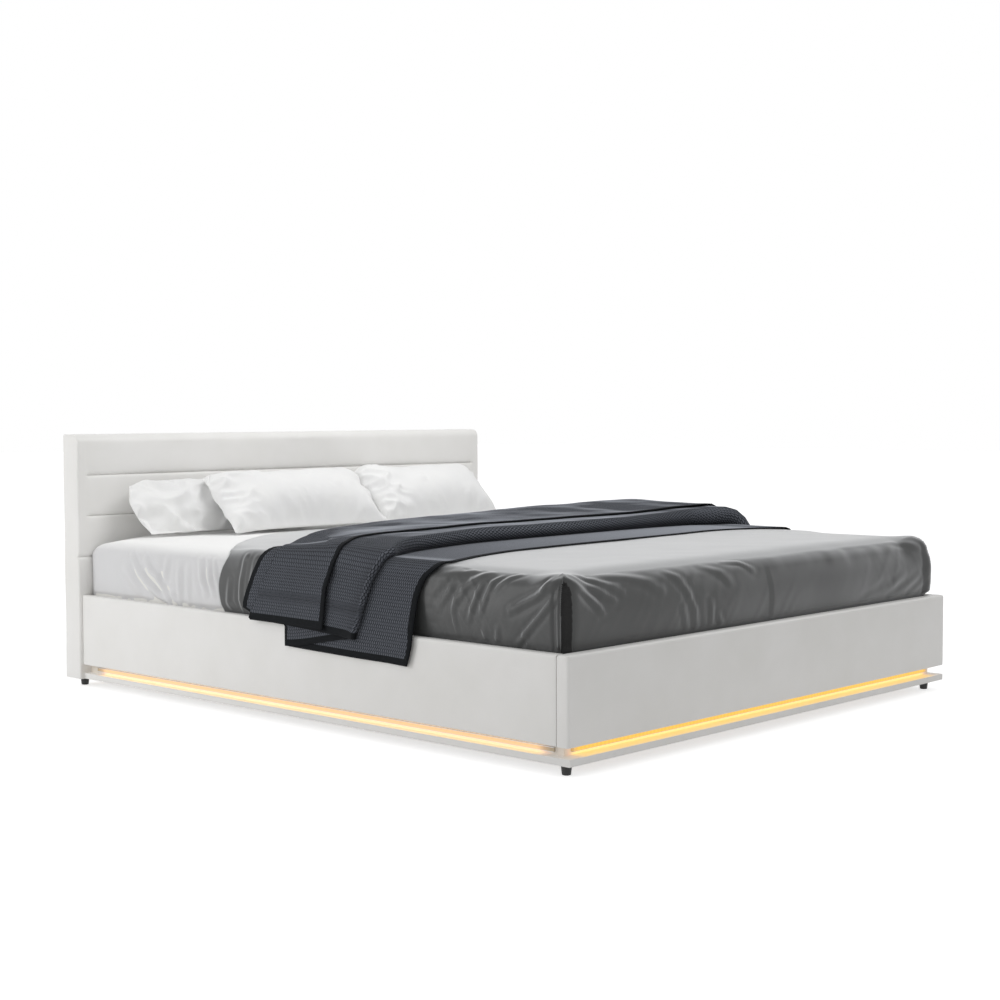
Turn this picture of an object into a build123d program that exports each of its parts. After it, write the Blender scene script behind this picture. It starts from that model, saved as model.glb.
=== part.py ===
from build123d import *
import os
from math import cos, radians, sin

os.makedirs("parts", exist_ok=True)

# A double bed with an upholstered headboard, a lit plinth and a storage box under a level-lift mattress base.
# Millimetres. +Z is up, the foot end faces -Y, the headboard is at +Y, and X runs across the bed.
# The origin is on the floor, under the middle of the whole bed.

# Overall sizes
bed_width = 1870.0  # over the side rails
frame_length = 2094.0  # foot face to headboard front
headboard_thickness = 83.0
headboard_height = 831.0
headboard_overhang = 11.5  # past each side rail
rail_top = 306.0
rail_bottom = 78.0
foot_height = 30.0
ledge_thickness = 19.4
ledge_inset = 6.0
side_rail_thickness = 30.0
foot_rail_thickness = 41.0
overrun = 5.0  # cutters run past what they cut by this much
soft_gap = 0.3  # between curved faces of two pieces, and under a piece that rests on another body

# Headboard
channel_count = 6
channel_depth = 30.0
channel_seam_depth = 9.0
channel_belly_share = 0.25  # of the seam's depth, halfway from a channel's middle to its seam
channel_end_share = 0.33  # of the seam's depth, where a channel rounds into the border
channel_edge_radius = 20.0
headboard_base = foot_height
headboard_border = 30.0
headboard_panel_thickness = 9.0
back_cloth_thickness = 1.5
post_width = 60.0
cross_rail_height = 60.0
top_band_thickness = 20.0
border_radius = 8.0

# Box rails and plinth
cover_thickness = 3.0
cover_radius = 6.0
ledge_width = 94.0
ledge_radius = 2.0
recess_board_thickness = 18.0
recess_board_lap = 52.0  # height against the rail's inner face
led_profile_height = 12.0
led_profile_depth = 8.0
led_profile_wall = 1.2
led_diffuser_depth = 1.5
led_corner_gap = 26.0
led_head_gap = 50.0
driver_length = 160.0
driver_width = 40.0
driver_inlet_width = 14.0
driver_inlet_height = 8.0
driver_inlet_depth = 12.0
driver_setback = 30.0  # from the head batten
floor_thickness = 9.0
floor_joint = 1.0
batten_width = 60.0
batten_count = 4

# Feet
foot_top_radius = 15.0
foot_tip_radius = 12.0
foot_edge_radius = 3.0
foot_inset = 46.0
centre_foot_spacing = 640.0

# Steel brackets and fasteners
plate_thickness = 4.0
corner_leg = 40.0
corner_bracket_height = 60.0
corner_bracket_base = 140.0
bolt_radius = 4.0
bolt_head_radius = 7.0
bolt_head_height = 4.0
bolt_length_in_wood = 22.0
headboard_bolt_height = 215.0
screw_radius = 2.5
screw_head_radius = 5.0
screw_head_height = 2.0
screw_length = 18.0

# Level-lift linkage: links of equal length on each side, parallel in every position
link_length = 420.0
link_rest_angle = -7.0  # degrees above level, seen from the lower pivot towards the head
link_half_width = 18.0
link_thickness = 5.0
rear_pivot_setback = 747.5  # from the headboard's front
front_pivot_foot_gap = 305.5  # from the foot rail's inner face
lower_pivot_height = 220.0
pin_radius = 5.0
pin_clearance = 0.05
pin_play = 0.2  # along the pin, beside a link
pin_head_radius = 9.0
pin_head_height = 3.0
base_plate_half_length = 40.0
base_plate_screw_reach = 30.0
base_plate_gap = 1.5  # between the base plate and the link
bracket_gap = 4.5  # between the link and the platform's bracket
pivot_bracket_half_length = 24.0
pivot_bracket_drop = 16.0  # below the upper pivot
rest_pad_width = 40.0
rest_bracket_height = 50.0
rest_screw_drop = 30.0
rest_positions_share = [-0.458, -0.03, 0.421]  # of the frame's length, from its middle

# Gas springs, one on each side, from the rear base plate to the rear link
spring_base_back = 15.2  # from the lower rear pivot towards the foot
spring_base_down = 63.0
spring_arm = 193.7  # from the lower rear pivot to the spring's upper stud
spring_arm_angle = -10.17  # degrees from the link's own line
spring_radius = 9.0
spring_rod_radius = 4.0
spring_rod_clearance = 0.05
spring_wall = 1.5
spring_stud_radius = 4.0
spring_collar_radius = 6.4
spring_eye_thickness = 9.0
spring_eye_wall = 5.0
spring_open_pivot = 4.1  # extra radius in the upper eye, for the stud's path
spring_body_length = 118.0
spring_line_in = 24.5  # from the rail's inner face to the spring's axis

# Platform under the mattress
platform_base = 206.0
tube_height = 25.0
side_tube_width = 30.0
cross_tube_width = 40.0
cross_tube_count = 4
tube_wall = 1.5
tube_side_gap = 30.0  # from the rail's inner face to the side tube
slat_count = 15
slat_width = 68.0
slat_thickness = 11.0
slat_holder_base = 4.0
slat_holder_wall = 3.0
slat_holder_length = 30.0
slat_play = 0.5
platform_head_gap = 42.0
platform_foot_gap = 10.5

# Mattress and bedding
mattress_side_gap = 10.0  # from the rail's inner face
mattress_head_gap = 32.5
mattress_edge_height = 242.0
mattress_crown = 10.0
mattress_edge_radius = 34.0
mattress_corner_radius = 40.0
mattress_foot_gap = 10.5
sheet_thickness = 2.0
sheet_skirt = 16.0  # up from the mattress's underside
sheet_head_bulge = 10.0
duvet_thickness = 6.0
duvet_skirt = 6.0
# Outlines in plan: across as a share of the duvet's half width, along as a share of the frame from the foot
duvet_head_shares = [(-1, 0.66), (-0.957, 0.649), (-0.452, 0.773), (-0.172, 0.814), (0, 0.822), (1, 0.822)]
throw_foot_shares = [(-1, 0.24), (-0.73, 0.266), (-0.5, 0.281), (0, 0.284), (0.67, 0.31), (0.85, 0.3), (1, 0.262)]
throw_roll_shares = [(-1, 0.358), (-0.8, 0.378), (-0.44, 0.394), (0.3, 0.4), (0.78, 0.42), (1, 0.35)]
throw_hem_shares = [(-1, 0.432), (-0.7, 0.436), (0, 0.443), (0.8, 0.443), (1, 0.415)]
throw_head_shares = [(-1, 0.579), (-0.7, 0.59), (0, 0.6), (1, 0.598)]
# The folded stack, from side to side: across as above, then its rise over the duvet's edge as shares of its
# height, at the roll, at the top layer's hem and at its head edge
throw_stack_height = 80.0
throw_stack_rises = [
    (-1.05, 0.25, 0.3, -0.2),
    (-0.95, 0.42, 0.48, 0.06),
    (-0.86, 0.55, 0.62, 0.32),
    (-0.72, 0.61, 0.68, 0.54),
    (-0.44, 0.65, 0.73, 0.74),
    (0, 0.65, 0.73, 0.86),
    (0.5, 0.66, 0.75, 0.96),
    (1.05, 0.75, 0.84, 1),
]
throw_shoulder_in = 62.0  # rounding over the bed's sides
throw_shoulder_near_rise = 48.0
throw_shoulder_far_rise = 82.0
throw_roll_round = 34.0
throw_top_round = 18.0
throw_layer = 5.0
throw_drop_start = 36.0  # below the duvet's top edge
throw_rail_gap = 2.5  # from the rail's top corner
throw_wave = 3.0
throw_wave_in = 1.0
throw_wave_count = 5
near_drop_heights = [232.0, 282.0, 316.0]
near_drop_foot_share = [0.26, 0.362, 0.433]
near_drop_head_share = [0.505, 0.54, 0.581]
far_drop_foot_share = [0.265, 0.354, 0.42]
far_drop_head_share = [0.51, 0.55, 0.595]

# Pillows, as they lie
pillow_width = 680.0
front_pillow_height = 300.0
back_pillow_height = 230.0
pillow_thickness = 80.0
pillow_edge = 10.0
pillow_draw_in = 16.0
pillow_shoulder_share = 0.6
pillow_shoulder_rise_share = 0.9
pillow_bulge_share = 0.62
front_pillow_tilt = 38.0
back_pillow_tilt = 50.0
front_pillow_setback = 365.0  # lower edge from the headboard's front
back_pillow_setback = 190.0
front_pillow_x_share = [-0.228, 0.5]  # of the bed's half width
back_pillow_x_share = [-0.475, 0.59]

# Sizes that follow
half_width = bed_width / 2
half_headboard = half_width + headboard_overhang
total_length = frame_length + headboard_thickness
foot_y = -total_length / 2
back_y = total_length / 2
front_y = back_y - headboard_thickness
inner_x = half_width - side_rail_thickness
inner_foot_y = foot_y + foot_rail_thickness
ledge_top = foot_height + ledge_thickness
ledge_x = half_width - ledge_inset
ledge_inner_x = ledge_x - ledge_width
recess_inner_x = inner_x - recess_board_thickness
recess_inner_y = inner_foot_y + recess_board_thickness
recess_top = rail_bottom + recess_board_lap
channel_y = front_y + channel_depth
panel_y = channel_y + headboard_panel_thickness
cloth_y = back_y - back_cloth_thickness
border_x = half_headboard - headboard_border
channel_pitch = (headboard_height - headboard_base) / channel_count
frame_top = headboard_height - top_band_thickness
floor_top = ledge_top + floor_thickness
rear_pivot_y = front_y - rear_pivot_setback
front_pivot_y = inner_foot_y + front_pivot_foot_gap
link_rise = link_length * sin(radians(link_rest_angle))
upper_pivot_height = lower_pivot_height + link_rise
side_tube_x = inner_x - tube_side_gap
side_tube_inner_x = side_tube_x - side_tube_width
tube_top = platform_base + tube_height
platform_head_y = front_y - platform_head_gap
platform_foot_y = inner_foot_y + platform_foot_gap
slat_base = tube_top + slat_holder_base
slat_top = slat_base + slat_thickness
base_plate_x = inner_x - plate_thickness
link_outer_x = base_plate_x - base_plate_gap
link_inner_x = link_outer_x - link_thickness
bracket_outer_x = link_inner_x - bracket_gap
bracket_inner_x = bracket_outer_x - plate_thickness
bracket_base = upper_pivot_height - pivot_bracket_drop
spring_x = inner_x - spring_line_in
mattress_x = inner_x - mattress_side_gap
mattress_foot_y = inner_foot_y + mattress_foot_gap
mattress_head_y = front_y - mattress_head_gap
mattress_base = slat_top + soft_gap
sheet_x = mattress_x + sheet_thickness + soft_gap
duvet_x = sheet_x + duvet_thickness + soft_gap
throw_x = duvet_x + soft_gap


# Small helpers
def block(x0, x1, y0, y1, z0, z1):
    corner = (Align.MIN, Align.MIN, Align.MIN)
    return Pos(x0, y0, z0) * Box(x1 - x0, y1 - y0, z1 - z0, align=corner)


def prism(path, place, along, amount):
    """Extrude a closed outline. path holds points, or (through, end) pairs for arcs; place maps them to 3-D."""
    edges = []
    start = path[0]
    for step in path[1:] + [path[0]]:
        if isinstance(step[0], tuple):
            through, end = step
            edges.append(Edge.make_three_point_arc(place(*start), place(*through), place(*end)))
            start = end
        elif step != start:
            edges.append(Edge.make_line(place(*start), place(*step)))
            start = step
    return extrude(Face(Wire(edges)), amount=amount, dir=along)


def prism_x(path, x0, x1):
    return prism(path, lambda y, z: Vector(x0, y, z), (1, 0, 0), x1 - x0)


def prism_y(path, y0, y1):
    return prism(path, lambda x, z: Vector(x, y0, z), (0, 1, 0), y1 - y0)


def prism_z(path, z0, z1):
    return prism(path, lambda x, y: Vector(x, y, z0), (0, 0, 1), z1 - z0)


def rod_x(radius, x0, x1, y, z):
    return Pos((x0 + x1) / 2, y, z) * Rot(0, 90, 0) * Cylinder(radius, abs(x1 - x0))


def rod_y(radius, y0, y1, x, z):
    return Pos(x, (y0 + y1) / 2, z) * Rot(90, 0, 0) * Cylinder(radius, abs(y1 - y0))


def arc_corner(cx, cz, radius, quarter):
    """Mid point and end of a quarter round about (cx, cz) that begins at angle quarter * 90 degrees."""
    first = radians(90 * quarter)
    middle = first + radians(45)
    last = first + radians(90)
    through = (cx + radius * cos(middle), cz + radius * sin(middle))
    return through, (cx + radius * cos(last), cz + radius * sin(last))


def round_rect(x0, x1, y0, y1, radius):
    """Plan outline with four rounded corners."""
    return [
        (x0 + radius, y0),
        (x1 - radius, y0),
        arc_corner(x1 - radius, y0 + radius, radius, 3),
        (x1, y1 - radius),
        arc_corner(x1 - radius, y1 - radius, radius, 0),
        (x0 + radius, y1),
        arc_corner(x0 + radius, y1 - radius, radius, 1),
        (x0, y0 + radius),
        arc_corner(x0 + radius, y0 + radius, radius, 2),
    ]


def crown_outline(u0, u1, base, top, crown, radius):
    """Section of a mattress: upright sides, rounded top edges and a crowned top."""
    middle = (u0 + u1) / 2
    return [
        (u0, base),
        (u1, base),
        (u1, top - radius),
        arc_corner(u1 - radius, top - radius, radius, 0),
        ((middle, top + crown), (u0 + radius, top)),
        arc_corner(u0 + radius, top - radius, radius, 1),
    ]


def crowned_block(half_x, y0, y1, base, top, grow):
    """Mattress-like body. grow is how far it lies outside the mattress itself."""
    radius = mattress_edge_radius + grow
    corner = mattress_corner_radius + grow
    across = crown_outline(-half_x, half_x, base, top, mattress_crown, radius)
    along = crown_outline(y0, y1, base, top, mattress_crown, radius)
    body = prism_y(across, y0 - overrun, y1 + overrun) & prism_x(along, -half_x - overrun, half_x + overrun)
    return body & prism_z(round_rect(-half_x, half_x, y0, y1, corner), base, top + mattress_crown + overrun)


def mirrored(shape):
    return mirror(shape, about=Plane.YZ)


def both_sides(shapes):
    return list(shapes) + [mirrored(shape) for shape in shapes]


def save(name, shapes):
    parts = shapes if isinstance(shapes, list) else [shapes]
    solids = [solid for part in parts for solid in part.solids()]
    export_step(solids[0] if len(solids) == 1 else Compound(children=solids), f"parts/{name}.step")


# Headboard
def channel(index):
    """One padded channel. Number 1 is the top one, which rounds over the top edge."""
    top = headboard_height - (index - 1) * channel_pitch
    base = top - channel_pitch
    seam_y = front_y + channel_seam_depth
    middle = (top + base) / 2
    if index == 1:
        side = [
            (seam_y, base),
            (channel_y, base),
            (channel_y, top),
            (front_y + channel_edge_radius, top),
            arc_corner(front_y + channel_edge_radius, top - channel_edge_radius, channel_edge_radius, 1),
            (front_y, middle),
            ((front_y + channel_seam_depth * channel_belly_share, (middle + base) / 2), (seam_y, base)),
        ]
    else:
        side = [(seam_y, base), (channel_y, base), (channel_y, top), (seam_y, top), ((front_y, middle), (seam_y, base))]
    end_x = border_x - channel_seam_depth / 2
    end_y = front_y + channel_seam_depth * channel_end_share
    plan = [
        (border_x, channel_y),
        (-border_x, channel_y),
        (-border_x, seam_y),
        ((-end_x, end_y), (-border_x + border_radius * 2, front_y)),
        (border_x - border_radius * 2, front_y),
        ((end_x, end_y), (border_x, seam_y)),
    ]
    return prism_x(side, -border_x, border_x) & prism_z(plan, base, top)


def headboard_side():
    """Padded border with its leather round the headboard's side, here the left one."""
    x0 = -half_headboard
    x1 = -border_x
    plan = [
        (x1, back_y),
        (x0 + border_radius / 2, back_y),
        arc_corner(x0 + border_radius / 2, back_y - border_radius / 2, border_radius / 2, 1),
        (x0, front_y + border_radius),
        arc_corner(x0 + border_radius, front_y + border_radius, border_radius, 2),
        (x1, front_y),
    ]
    side = [
        (front_y, headboard_base),
        (back_y, headboard_base),
        (back_y, headboard_height),
        (front_y + channel_edge_radius, headboard_height),
        arc_corner(front_y + channel_edge_radius, headboard_height - channel_edge_radius, channel_edge_radius, 1),
    ]
    return prism_z(plan, headboard_base, headboard_height) & prism_x(side, x0, x1)


def headboard_bolt_bores():
    """The bores of the two bolts that hold the side rails to the headboard."""
    bores = []
    for side in (-1, 1):
        x = side * (inner_x - corner_leg / 2)
        bores.append(rod_y(bolt_radius, front_y - overrun, cloth_y, x, headboard_bolt_height))
    return bores


def cut(shape, tools):
    for tool in tools:
        shape = shape - tool
    return shape


bores = headboard_bolt_bores()
for number in range(1, channel_count + 1):
    save(f"headboard_channel_{number}", cut(channel(number), bores))
left_side = headboard_side()
save("headboard_left_side", left_side)
save("headboard_right_side", mirrored(left_side))
save("headboard_top_band", block(-border_x, border_x, channel_y, back_y, frame_top, headboard_height))
panel = block(-border_x, border_x, channel_y, panel_y, headboard_base, frame_top)
save("headboard_panel", cut(panel, bores))
left_post = block(-border_x, -border_x + post_width, panel_y, cloth_y, headboard_base, frame_top)
save("headboard_posts", [cut(left_post, bores), cut(mirrored(left_post), bores)])
post_inner_x = border_x - post_width
rail_steps = {
    "headboard_bottom_rail": headboard_base,
    "headboard_middle_rail": (headboard_base + frame_top - cross_rail_height) / 2,
    "headboard_top_rail": frame_top - cross_rail_height,
}
for name, base in rail_steps.items():
    save(name, block(-post_inner_x, post_inner_x, panel_y, cloth_y, base, base + cross_rail_height))
save("headboard_back_cloth", block(-border_x, border_x, cloth_y, back_y, headboard_base, frame_top))


# Box rails: a board in a leather cover, open below
def bracket_bolts():
    """Axes of the bolts in the four corner brackets, as (start point, direction) on the left side."""
    z = corner_bracket_base + corner_bracket_height / 2
    x = -inner_x
    foot_bolt_y = inner_foot_y + corner_leg / 2
    head_bolt_y = front_y - corner_leg / 2
    return [
        ((x + plate_thickness, foot_bolt_y, z), (-1, 0, 0)),
        ((x + corner_leg / 2, inner_foot_y + plate_thickness, z), (0, -1, 0)),
        ((x + plate_thickness, head_bolt_y, headboard_bolt_height), (-1, 0, 0)),
    ]


def fastener(start, direction, radius, head_radius, head_height, length):
    """A round-headed bolt or screw whose head's underside is at start and whose shank runs along direction."""
    face = Plane(origin=start, z_dir=direction)
    low = (Align.CENTER, Align.CENTER, Align.MIN)
    high = (Align.CENTER, Align.CENTER, Align.MAX)
    shank = face * Cylinder(radius, length, align=low)
    head = face * Cylinder(head_radius, head_height, align=high)
    return head + shank


def shank_only(start, direction, radius, length):
    return Plane(origin=start, z_dir=direction) * Cylinder(radius, length, align=(Align.CENTER, Align.CENTER, Align.MIN))


def plate_screw_places():
    """Screws that hold the base plates and rests to the left rail, as (start point, direction)."""
    places = []
    x = -inner_x + plate_thickness
    for pivot_y in (rear_pivot_y, front_pivot_y):
        low_z = lower_pivot_height - spring_base_down
        for y in (pivot_y - base_plate_screw_reach, pivot_y + base_plate_screw_reach):
            places.append(((x, y, (low_z + lower_pivot_height) / 2), (-1, 0, 0)))
    for share in rest_positions_share:
        z = platform_base - soft_gap - rest_screw_drop
        places.append(((x, share * frame_length, z), (-1, 0, 0)))
    return places


def rail_tools():
    """All bolt and screw shanks that enter the rails, on both sides."""
    tools = []
    for start, direction in bracket_bolts():
        tools.append(shank_only(start, direction, bolt_radius, bolt_length_in_wood + plate_thickness))
    for start, direction in plate_screw_places():
        tools.append(shank_only(start, direction, screw_radius, screw_length + plate_thickness))
    return both_sides(tools)


def cover_section(u0, u1):
    """Outline of a rail cover with rounded top edges."""
    return [
        (u0, rail_bottom),
        (u1, rail_bottom),
        (u1, rail_top - cover_radius),
        arc_corner(u1 - cover_radius, rail_top - cover_radius, cover_radius, 0),
        (u0 + cover_radius, rail_top),
        arc_corner(u0 + cover_radius, rail_top - cover_radius, cover_radius, 1),
    ]


tools = rail_tools()
board_top = rail_top - cover_thickness
side_board = block(-half_width + cover_thickness, -inner_x - cover_thickness, inner_foot_y, front_y, rail_bottom, board_top)
side_outer = prism_y(cover_section(-half_width, -inner_x), inner_foot_y, front_y)
side_cover = side_outer - block(
    -half_width + cover_thickness,
    -inner_x - cover_thickness,
    inner_foot_y - overrun,
    front_y + overrun,
    rail_bottom - overrun,
    board_top,
)
save("left_rail_board", cut(side_board, tools))
save("right_rail_board", cut(mirrored(side_board), tools))
save("left_rail_cover", cut(side_cover, tools))
save("right_rail_cover", cut(mirrored(side_cover), tools))

foot_board_box = (
    -half_width + cover_thickness,
    half_width - cover_thickness,
    foot_y + cover_thickness,
    inner_foot_y - cover_thickness,
)
foot_board = block(*foot_board_box, rail_bottom, board_top)
foot_outer = prism_x(cover_section(foot_y, inner_foot_y), -half_width, half_width)
foot_plan = round_rect(-half_width, half_width, foot_y, inner_foot_y, cover_radius)
foot_outer = foot_outer & prism_z(foot_plan, rail_bottom, rail_top)
foot_cover = foot_outer - block(*foot_board_box, rail_bottom - overrun, board_top)
save("foot_rail_board", cut(foot_board, tools))
save("foot_rail_cover", cut(foot_cover, tools))

# Plinth: ledge, set-back recess boards and the light strips on them
foot_batten_y = inner_foot_y + batten_width
side_ledge = block(-ledge_x, -ledge_inner_x, inner_foot_y, front_y, foot_height, ledge_top)
side_ledge = fillet(side_ledge.edges().filter_by(Axis.Y).sort_by(Axis.X)[0:2], ledge_radius)
foot_ledge = block(-ledge_x, ledge_x, foot_y, inner_foot_y, foot_height, ledge_top)
foot_ledge = fillet(foot_ledge.edges().filter_by(Axis.X).sort_by(Axis.Y)[0:2], ledge_radius)
save("left_ledge", side_ledge)
save("right_ledge", mirrored(side_ledge))
save("foot_ledge", foot_ledge)
side_recess = block(-inner_x, -recess_inner_x, recess_inner_y, front_y, ledge_top, recess_top)
save("left_recess_board", side_recess)
save("right_recess_board", mirrored(side_recess))
save("foot_recess_board", block(-inner_x, inner_x, inner_foot_y, recess_inner_y, ledge_top, recess_top))

led_middle = (ledge_top + rail_bottom) / 2
led_low = led_middle - led_profile_height / 2
led_high = led_middle + led_profile_height / 2
led_groove_low = led_low + led_profile_wall
led_groove_high = led_high - led_profile_wall
led_x = inner_x + led_profile_depth
led_y = inner_foot_y - led_profile_depth
led_start_y = inner_foot_y + led_corner_gap
led_end_y = front_y - led_head_gap
led_foot_x = inner_x - led_corner_gap


def led_side(depth0, depth1, low, high):
    """A strip on the left recess wall; depths are measured out from that wall."""
    return block(-inner_x - depth1, -inner_x - depth0, led_start_y, led_end_y, low, high)


def led_foot(depth0, depth1, low, high):
    return block(-led_foot_x, led_foot_x, inner_foot_y - depth1, inner_foot_y - depth0, low, high)


profiles = []
diffusers = []
for strip in (led_side, led_foot):
    outer = strip(0, led_profile_depth, led_low, led_high)
    groove = strip(led_profile_wall, led_profile_depth, led_groove_low, led_groove_high)
    profiles.append(outer - groove)
    diffusers.append(strip(led_profile_depth - led_diffuser_depth, led_profile_depth, led_groove_low, led_groove_high))
tape = [
    strip(led_profile_wall, led_profile_wall + led_diffuser_depth, led_groove_low, led_groove_high)
    for strip in (led_side, led_foot)
]
save("led_profiles", [profiles[0], mirrored(profiles[0]), profiles[1]])
save("led_diffusers", [diffusers[0], mirrored(diffusers[0]), diffusers[1]])
save("led_tapes", [tape[0], mirrored(tape[0]), tape[1]])

# Storage floor on cross battens
batten_step = (front_y - inner_foot_y - batten_width) / (batten_count - 1)
battens = []
for index in range(batten_count):
    start_y = inner_foot_y + index * batten_step
    battens.append(block(-ledge_inner_x, ledge_inner_x, start_y, start_y + batten_width, foot_height, ledge_top))
save("cross_battens", battens)
floor_middle = (recess_inner_y + front_y) / 2
floor_head = block(-recess_inner_x, recess_inner_x, floor_middle + floor_joint / 2, front_y, ledge_top, floor_top)
floor_foot = block(-recess_inner_x, recess_inner_x, recess_inner_y, floor_middle - floor_joint / 2, ledge_top, floor_top)
save("floor_boards", [floor_head, floor_foot])

driver_end_y = front_y - batten_width - driver_setback
driver_x = -ledge_inner_x / 2
driver = block(
    driver_x - driver_width / 2,
    driver_x + driver_width / 2,
    driver_end_y - driver_length,
    driver_end_y,
    ledge_top - ledge_thickness + ledge_radius,
    ledge_top,
)
inlet = block(
    driver_x - driver_inlet_width / 2,
    driver_x + driver_inlet_width / 2,
    driver_end_y - driver_inlet_depth,
    driver_end_y + overrun,
    ledge_top - ledge_thickness / 2 - driver_inlet_height / 2,
    ledge_top - ledge_thickness / 2 + driver_inlet_height / 2,
)
save("led_driver", driver - inlet)


# Feet
def foot(x, y):
    """A tapered round foot with a rounded tip."""
    side = [
        (0, 0),
        (foot_tip_radius - foot_edge_radius, 0),
        arc_corner(foot_tip_radius - foot_edge_radius, foot_edge_radius, foot_edge_radius, 3),
        (foot_top_radius, foot_height),
        (0, foot_height),
    ]
    edges = []
    start = side[0]
    for step in side[1:] + [side[0]]:
        if isinstance(step[0], tuple):
            through, end = step
            edges.append(Edge.make_three_point_arc((start[0], 0, start[1]), (through[0], 0, through[1]), (end[0], 0, end[1])))
            start = end
        else:
            edges.append(Edge.make_line((start[0], 0, start[1]), (step[0], 0, step[1])))
            start = step
    return Pos(x, y, 0) * revolve(Face(Wire(edges)), axis=Axis.Z)


foot_x = half_width - foot_inset
head_foot_y = (panel_y + cloth_y) / 2
save("corner_feet", both_sides([foot(-foot_x, foot_y + foot_inset), foot(-foot_x, head_foot_y)]))
middle_feet = []
for index in range(1, batten_count - 1):
    y = inner_foot_y + index * batten_step + batten_width / 2
    middle_feet += [foot(-centre_foot_spacing / 2, y), foot(centre_foot_spacing / 2, y)]
save("centre_feet", middle_feet)


# Corner brackets, bolts and screws
def corner_brackets():
    """Left side: an angle in the foot corner and one at the headboard, both drilled for their bolts."""
    low = corner_bracket_base
    high = low + corner_bracket_height
    x = -inner_x
    foot_leg = block(x, x + plate_thickness, inner_foot_y, inner_foot_y + corner_leg, low, high)
    foot_angle = foot_leg + block(x, x + corner_leg, inner_foot_y, inner_foot_y + plate_thickness, low, high)
    low = headboard_bolt_height - corner_bracket_height / 2
    high = low + corner_bracket_height
    head_leg = block(x, x + plate_thickness, front_y - corner_leg, front_y, low, high)
    head_angle = head_leg + block(x, x + corner_leg, front_y - plate_thickness, front_y, low, high)
    back = [rod_y(bolt_radius, front_y - corner_leg, front_y + overrun, x + corner_leg / 2, headboard_bolt_height)]
    bolt_holes = []
    for start, way in bracket_bolts():
        from_inside = tuple(start[i] - way[i] * overrun for i in range(3))
        bolt_holes.append(shank_only(from_inside, way, bolt_radius, overrun + plate_thickness + overrun))
    return [cut(foot_angle, bolt_holes), cut(head_angle, bolt_holes + back)]


save("corner_brackets", both_sides(corner_brackets()))

fasteners = []
for start, way in bracket_bolts():
    fasteners.append(
        fastener(start, way, bolt_radius, bolt_head_radius, bolt_head_height, bolt_length_in_wood + plate_thickness)
    )
long_bolt_start = (-inner_x + corner_leg / 2, front_y - plate_thickness, headboard_bolt_height)
long_bolt_length = cloth_y - front_y + plate_thickness
fasteners.append(
    fastener(long_bolt_start, (0, 1, 0), bolt_radius, bolt_head_radius, bolt_head_height, long_bolt_length)
)
save("frame_bolts", both_sides(fasteners))
screws = [
    fastener(start, way, screw_radius, screw_head_radius, screw_head_height, screw_length + plate_thickness)
    for start, way in plate_screw_places()
]
save("hardware_screws", both_sides(screws))

# Lift hardware that stays on the rails, drawn on the left side
spring_base_y = rear_pivot_y - spring_base_back
spring_base_z = lower_pivot_height - spring_base_down
plate_low = spring_base_z - pin_head_radius
plate_high = lower_pivot_height + link_half_width
stud_end_x = spring_x - spring_eye_thickness / 2


def drill(shape, radius, places):
    for y, z in places:
        shape = shape - rod_x(radius, -inner_x - overrun, -bracket_inner_x + overrun * 4, y, z)
    return shape


def lower_hardware():
    plates = []
    pins = []
    screw_tools = [
        shank_only((start[0] + overrun, start[1], start[2]), way, screw_radius, plate_thickness + overrun * 2)
        for start, way in plate_screw_places()
    ]
    for pivot_y in (rear_pivot_y, front_pivot_y):
        plate = block(
            -inner_x,
            -base_plate_x,
            pivot_y - base_plate_half_length,
            pivot_y + base_plate_half_length,
            plate_low,
            plate_high,
        )
        plates.append(cut(drill(plate, pin_radius, [(pivot_y, lower_pivot_height)]), screw_tools))
        head_x = -link_inner_x + pin_play
        collar_x = -base_plate_x + base_plate_gap - pin_play
        pin = rod_x(pin_radius, -inner_x, head_x, pivot_y, lower_pivot_height)
        head = rod_x(pin_head_radius, head_x, head_x + pin_head_height, pivot_y, lower_pivot_height)
        collar = rod_x(pin_head_radius, -base_plate_x, collar_x, pivot_y, lower_pivot_height)
        pins.append(pin + head + collar)
    stud = rod_x(spring_stud_radius, -inner_x, -stud_end_x, spring_base_y, spring_base_z)
    plates[0] = plates[0] - rod_x(spring_stud_radius, -inner_x - overrun, -base_plate_x + overrun, spring_base_y, spring_base_z)
    collar_end = -spring_x - spring_eye_thickness / 2 - pin_play
    stud = stud + rod_x(spring_collar_radius, -base_plate_x, collar_end, spring_base_y, spring_base_z)
    return plates, pins, stud


plates, pins, stud = lower_hardware()
save("lift_base_plates", both_sides(plates))
save("lower_pivot_pins", both_sides(pins + [stud]))

rests = []
for share in rest_positions_share:
    y = share * frame_length
    high = platform_base - soft_gap
    low = high - rest_bracket_height
    upright = block(-inner_x, -base_plate_x, y - rest_pad_width / 2, y + rest_pad_width / 2, low, high)
    shelf = block(-inner_x, -side_tube_inner_x, y - rest_pad_width / 2, y + rest_pad_width / 2, high - plate_thickness, high)
    screw_hole = shank_only(
        (-base_plate_x + overrun, y, high - rest_screw_drop), (-1, 0, 0), screw_radius, plate_thickness + overrun * 2
    )
    rests.append(upright + shelf - screw_hole)
save("platform_rests", both_sides(rests))


# Moving links
def link_point(pivot_y, distance, angle):
    return pivot_y + distance * cos(radians(angle)), lower_pivot_height + distance * sin(radians(angle))


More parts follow.
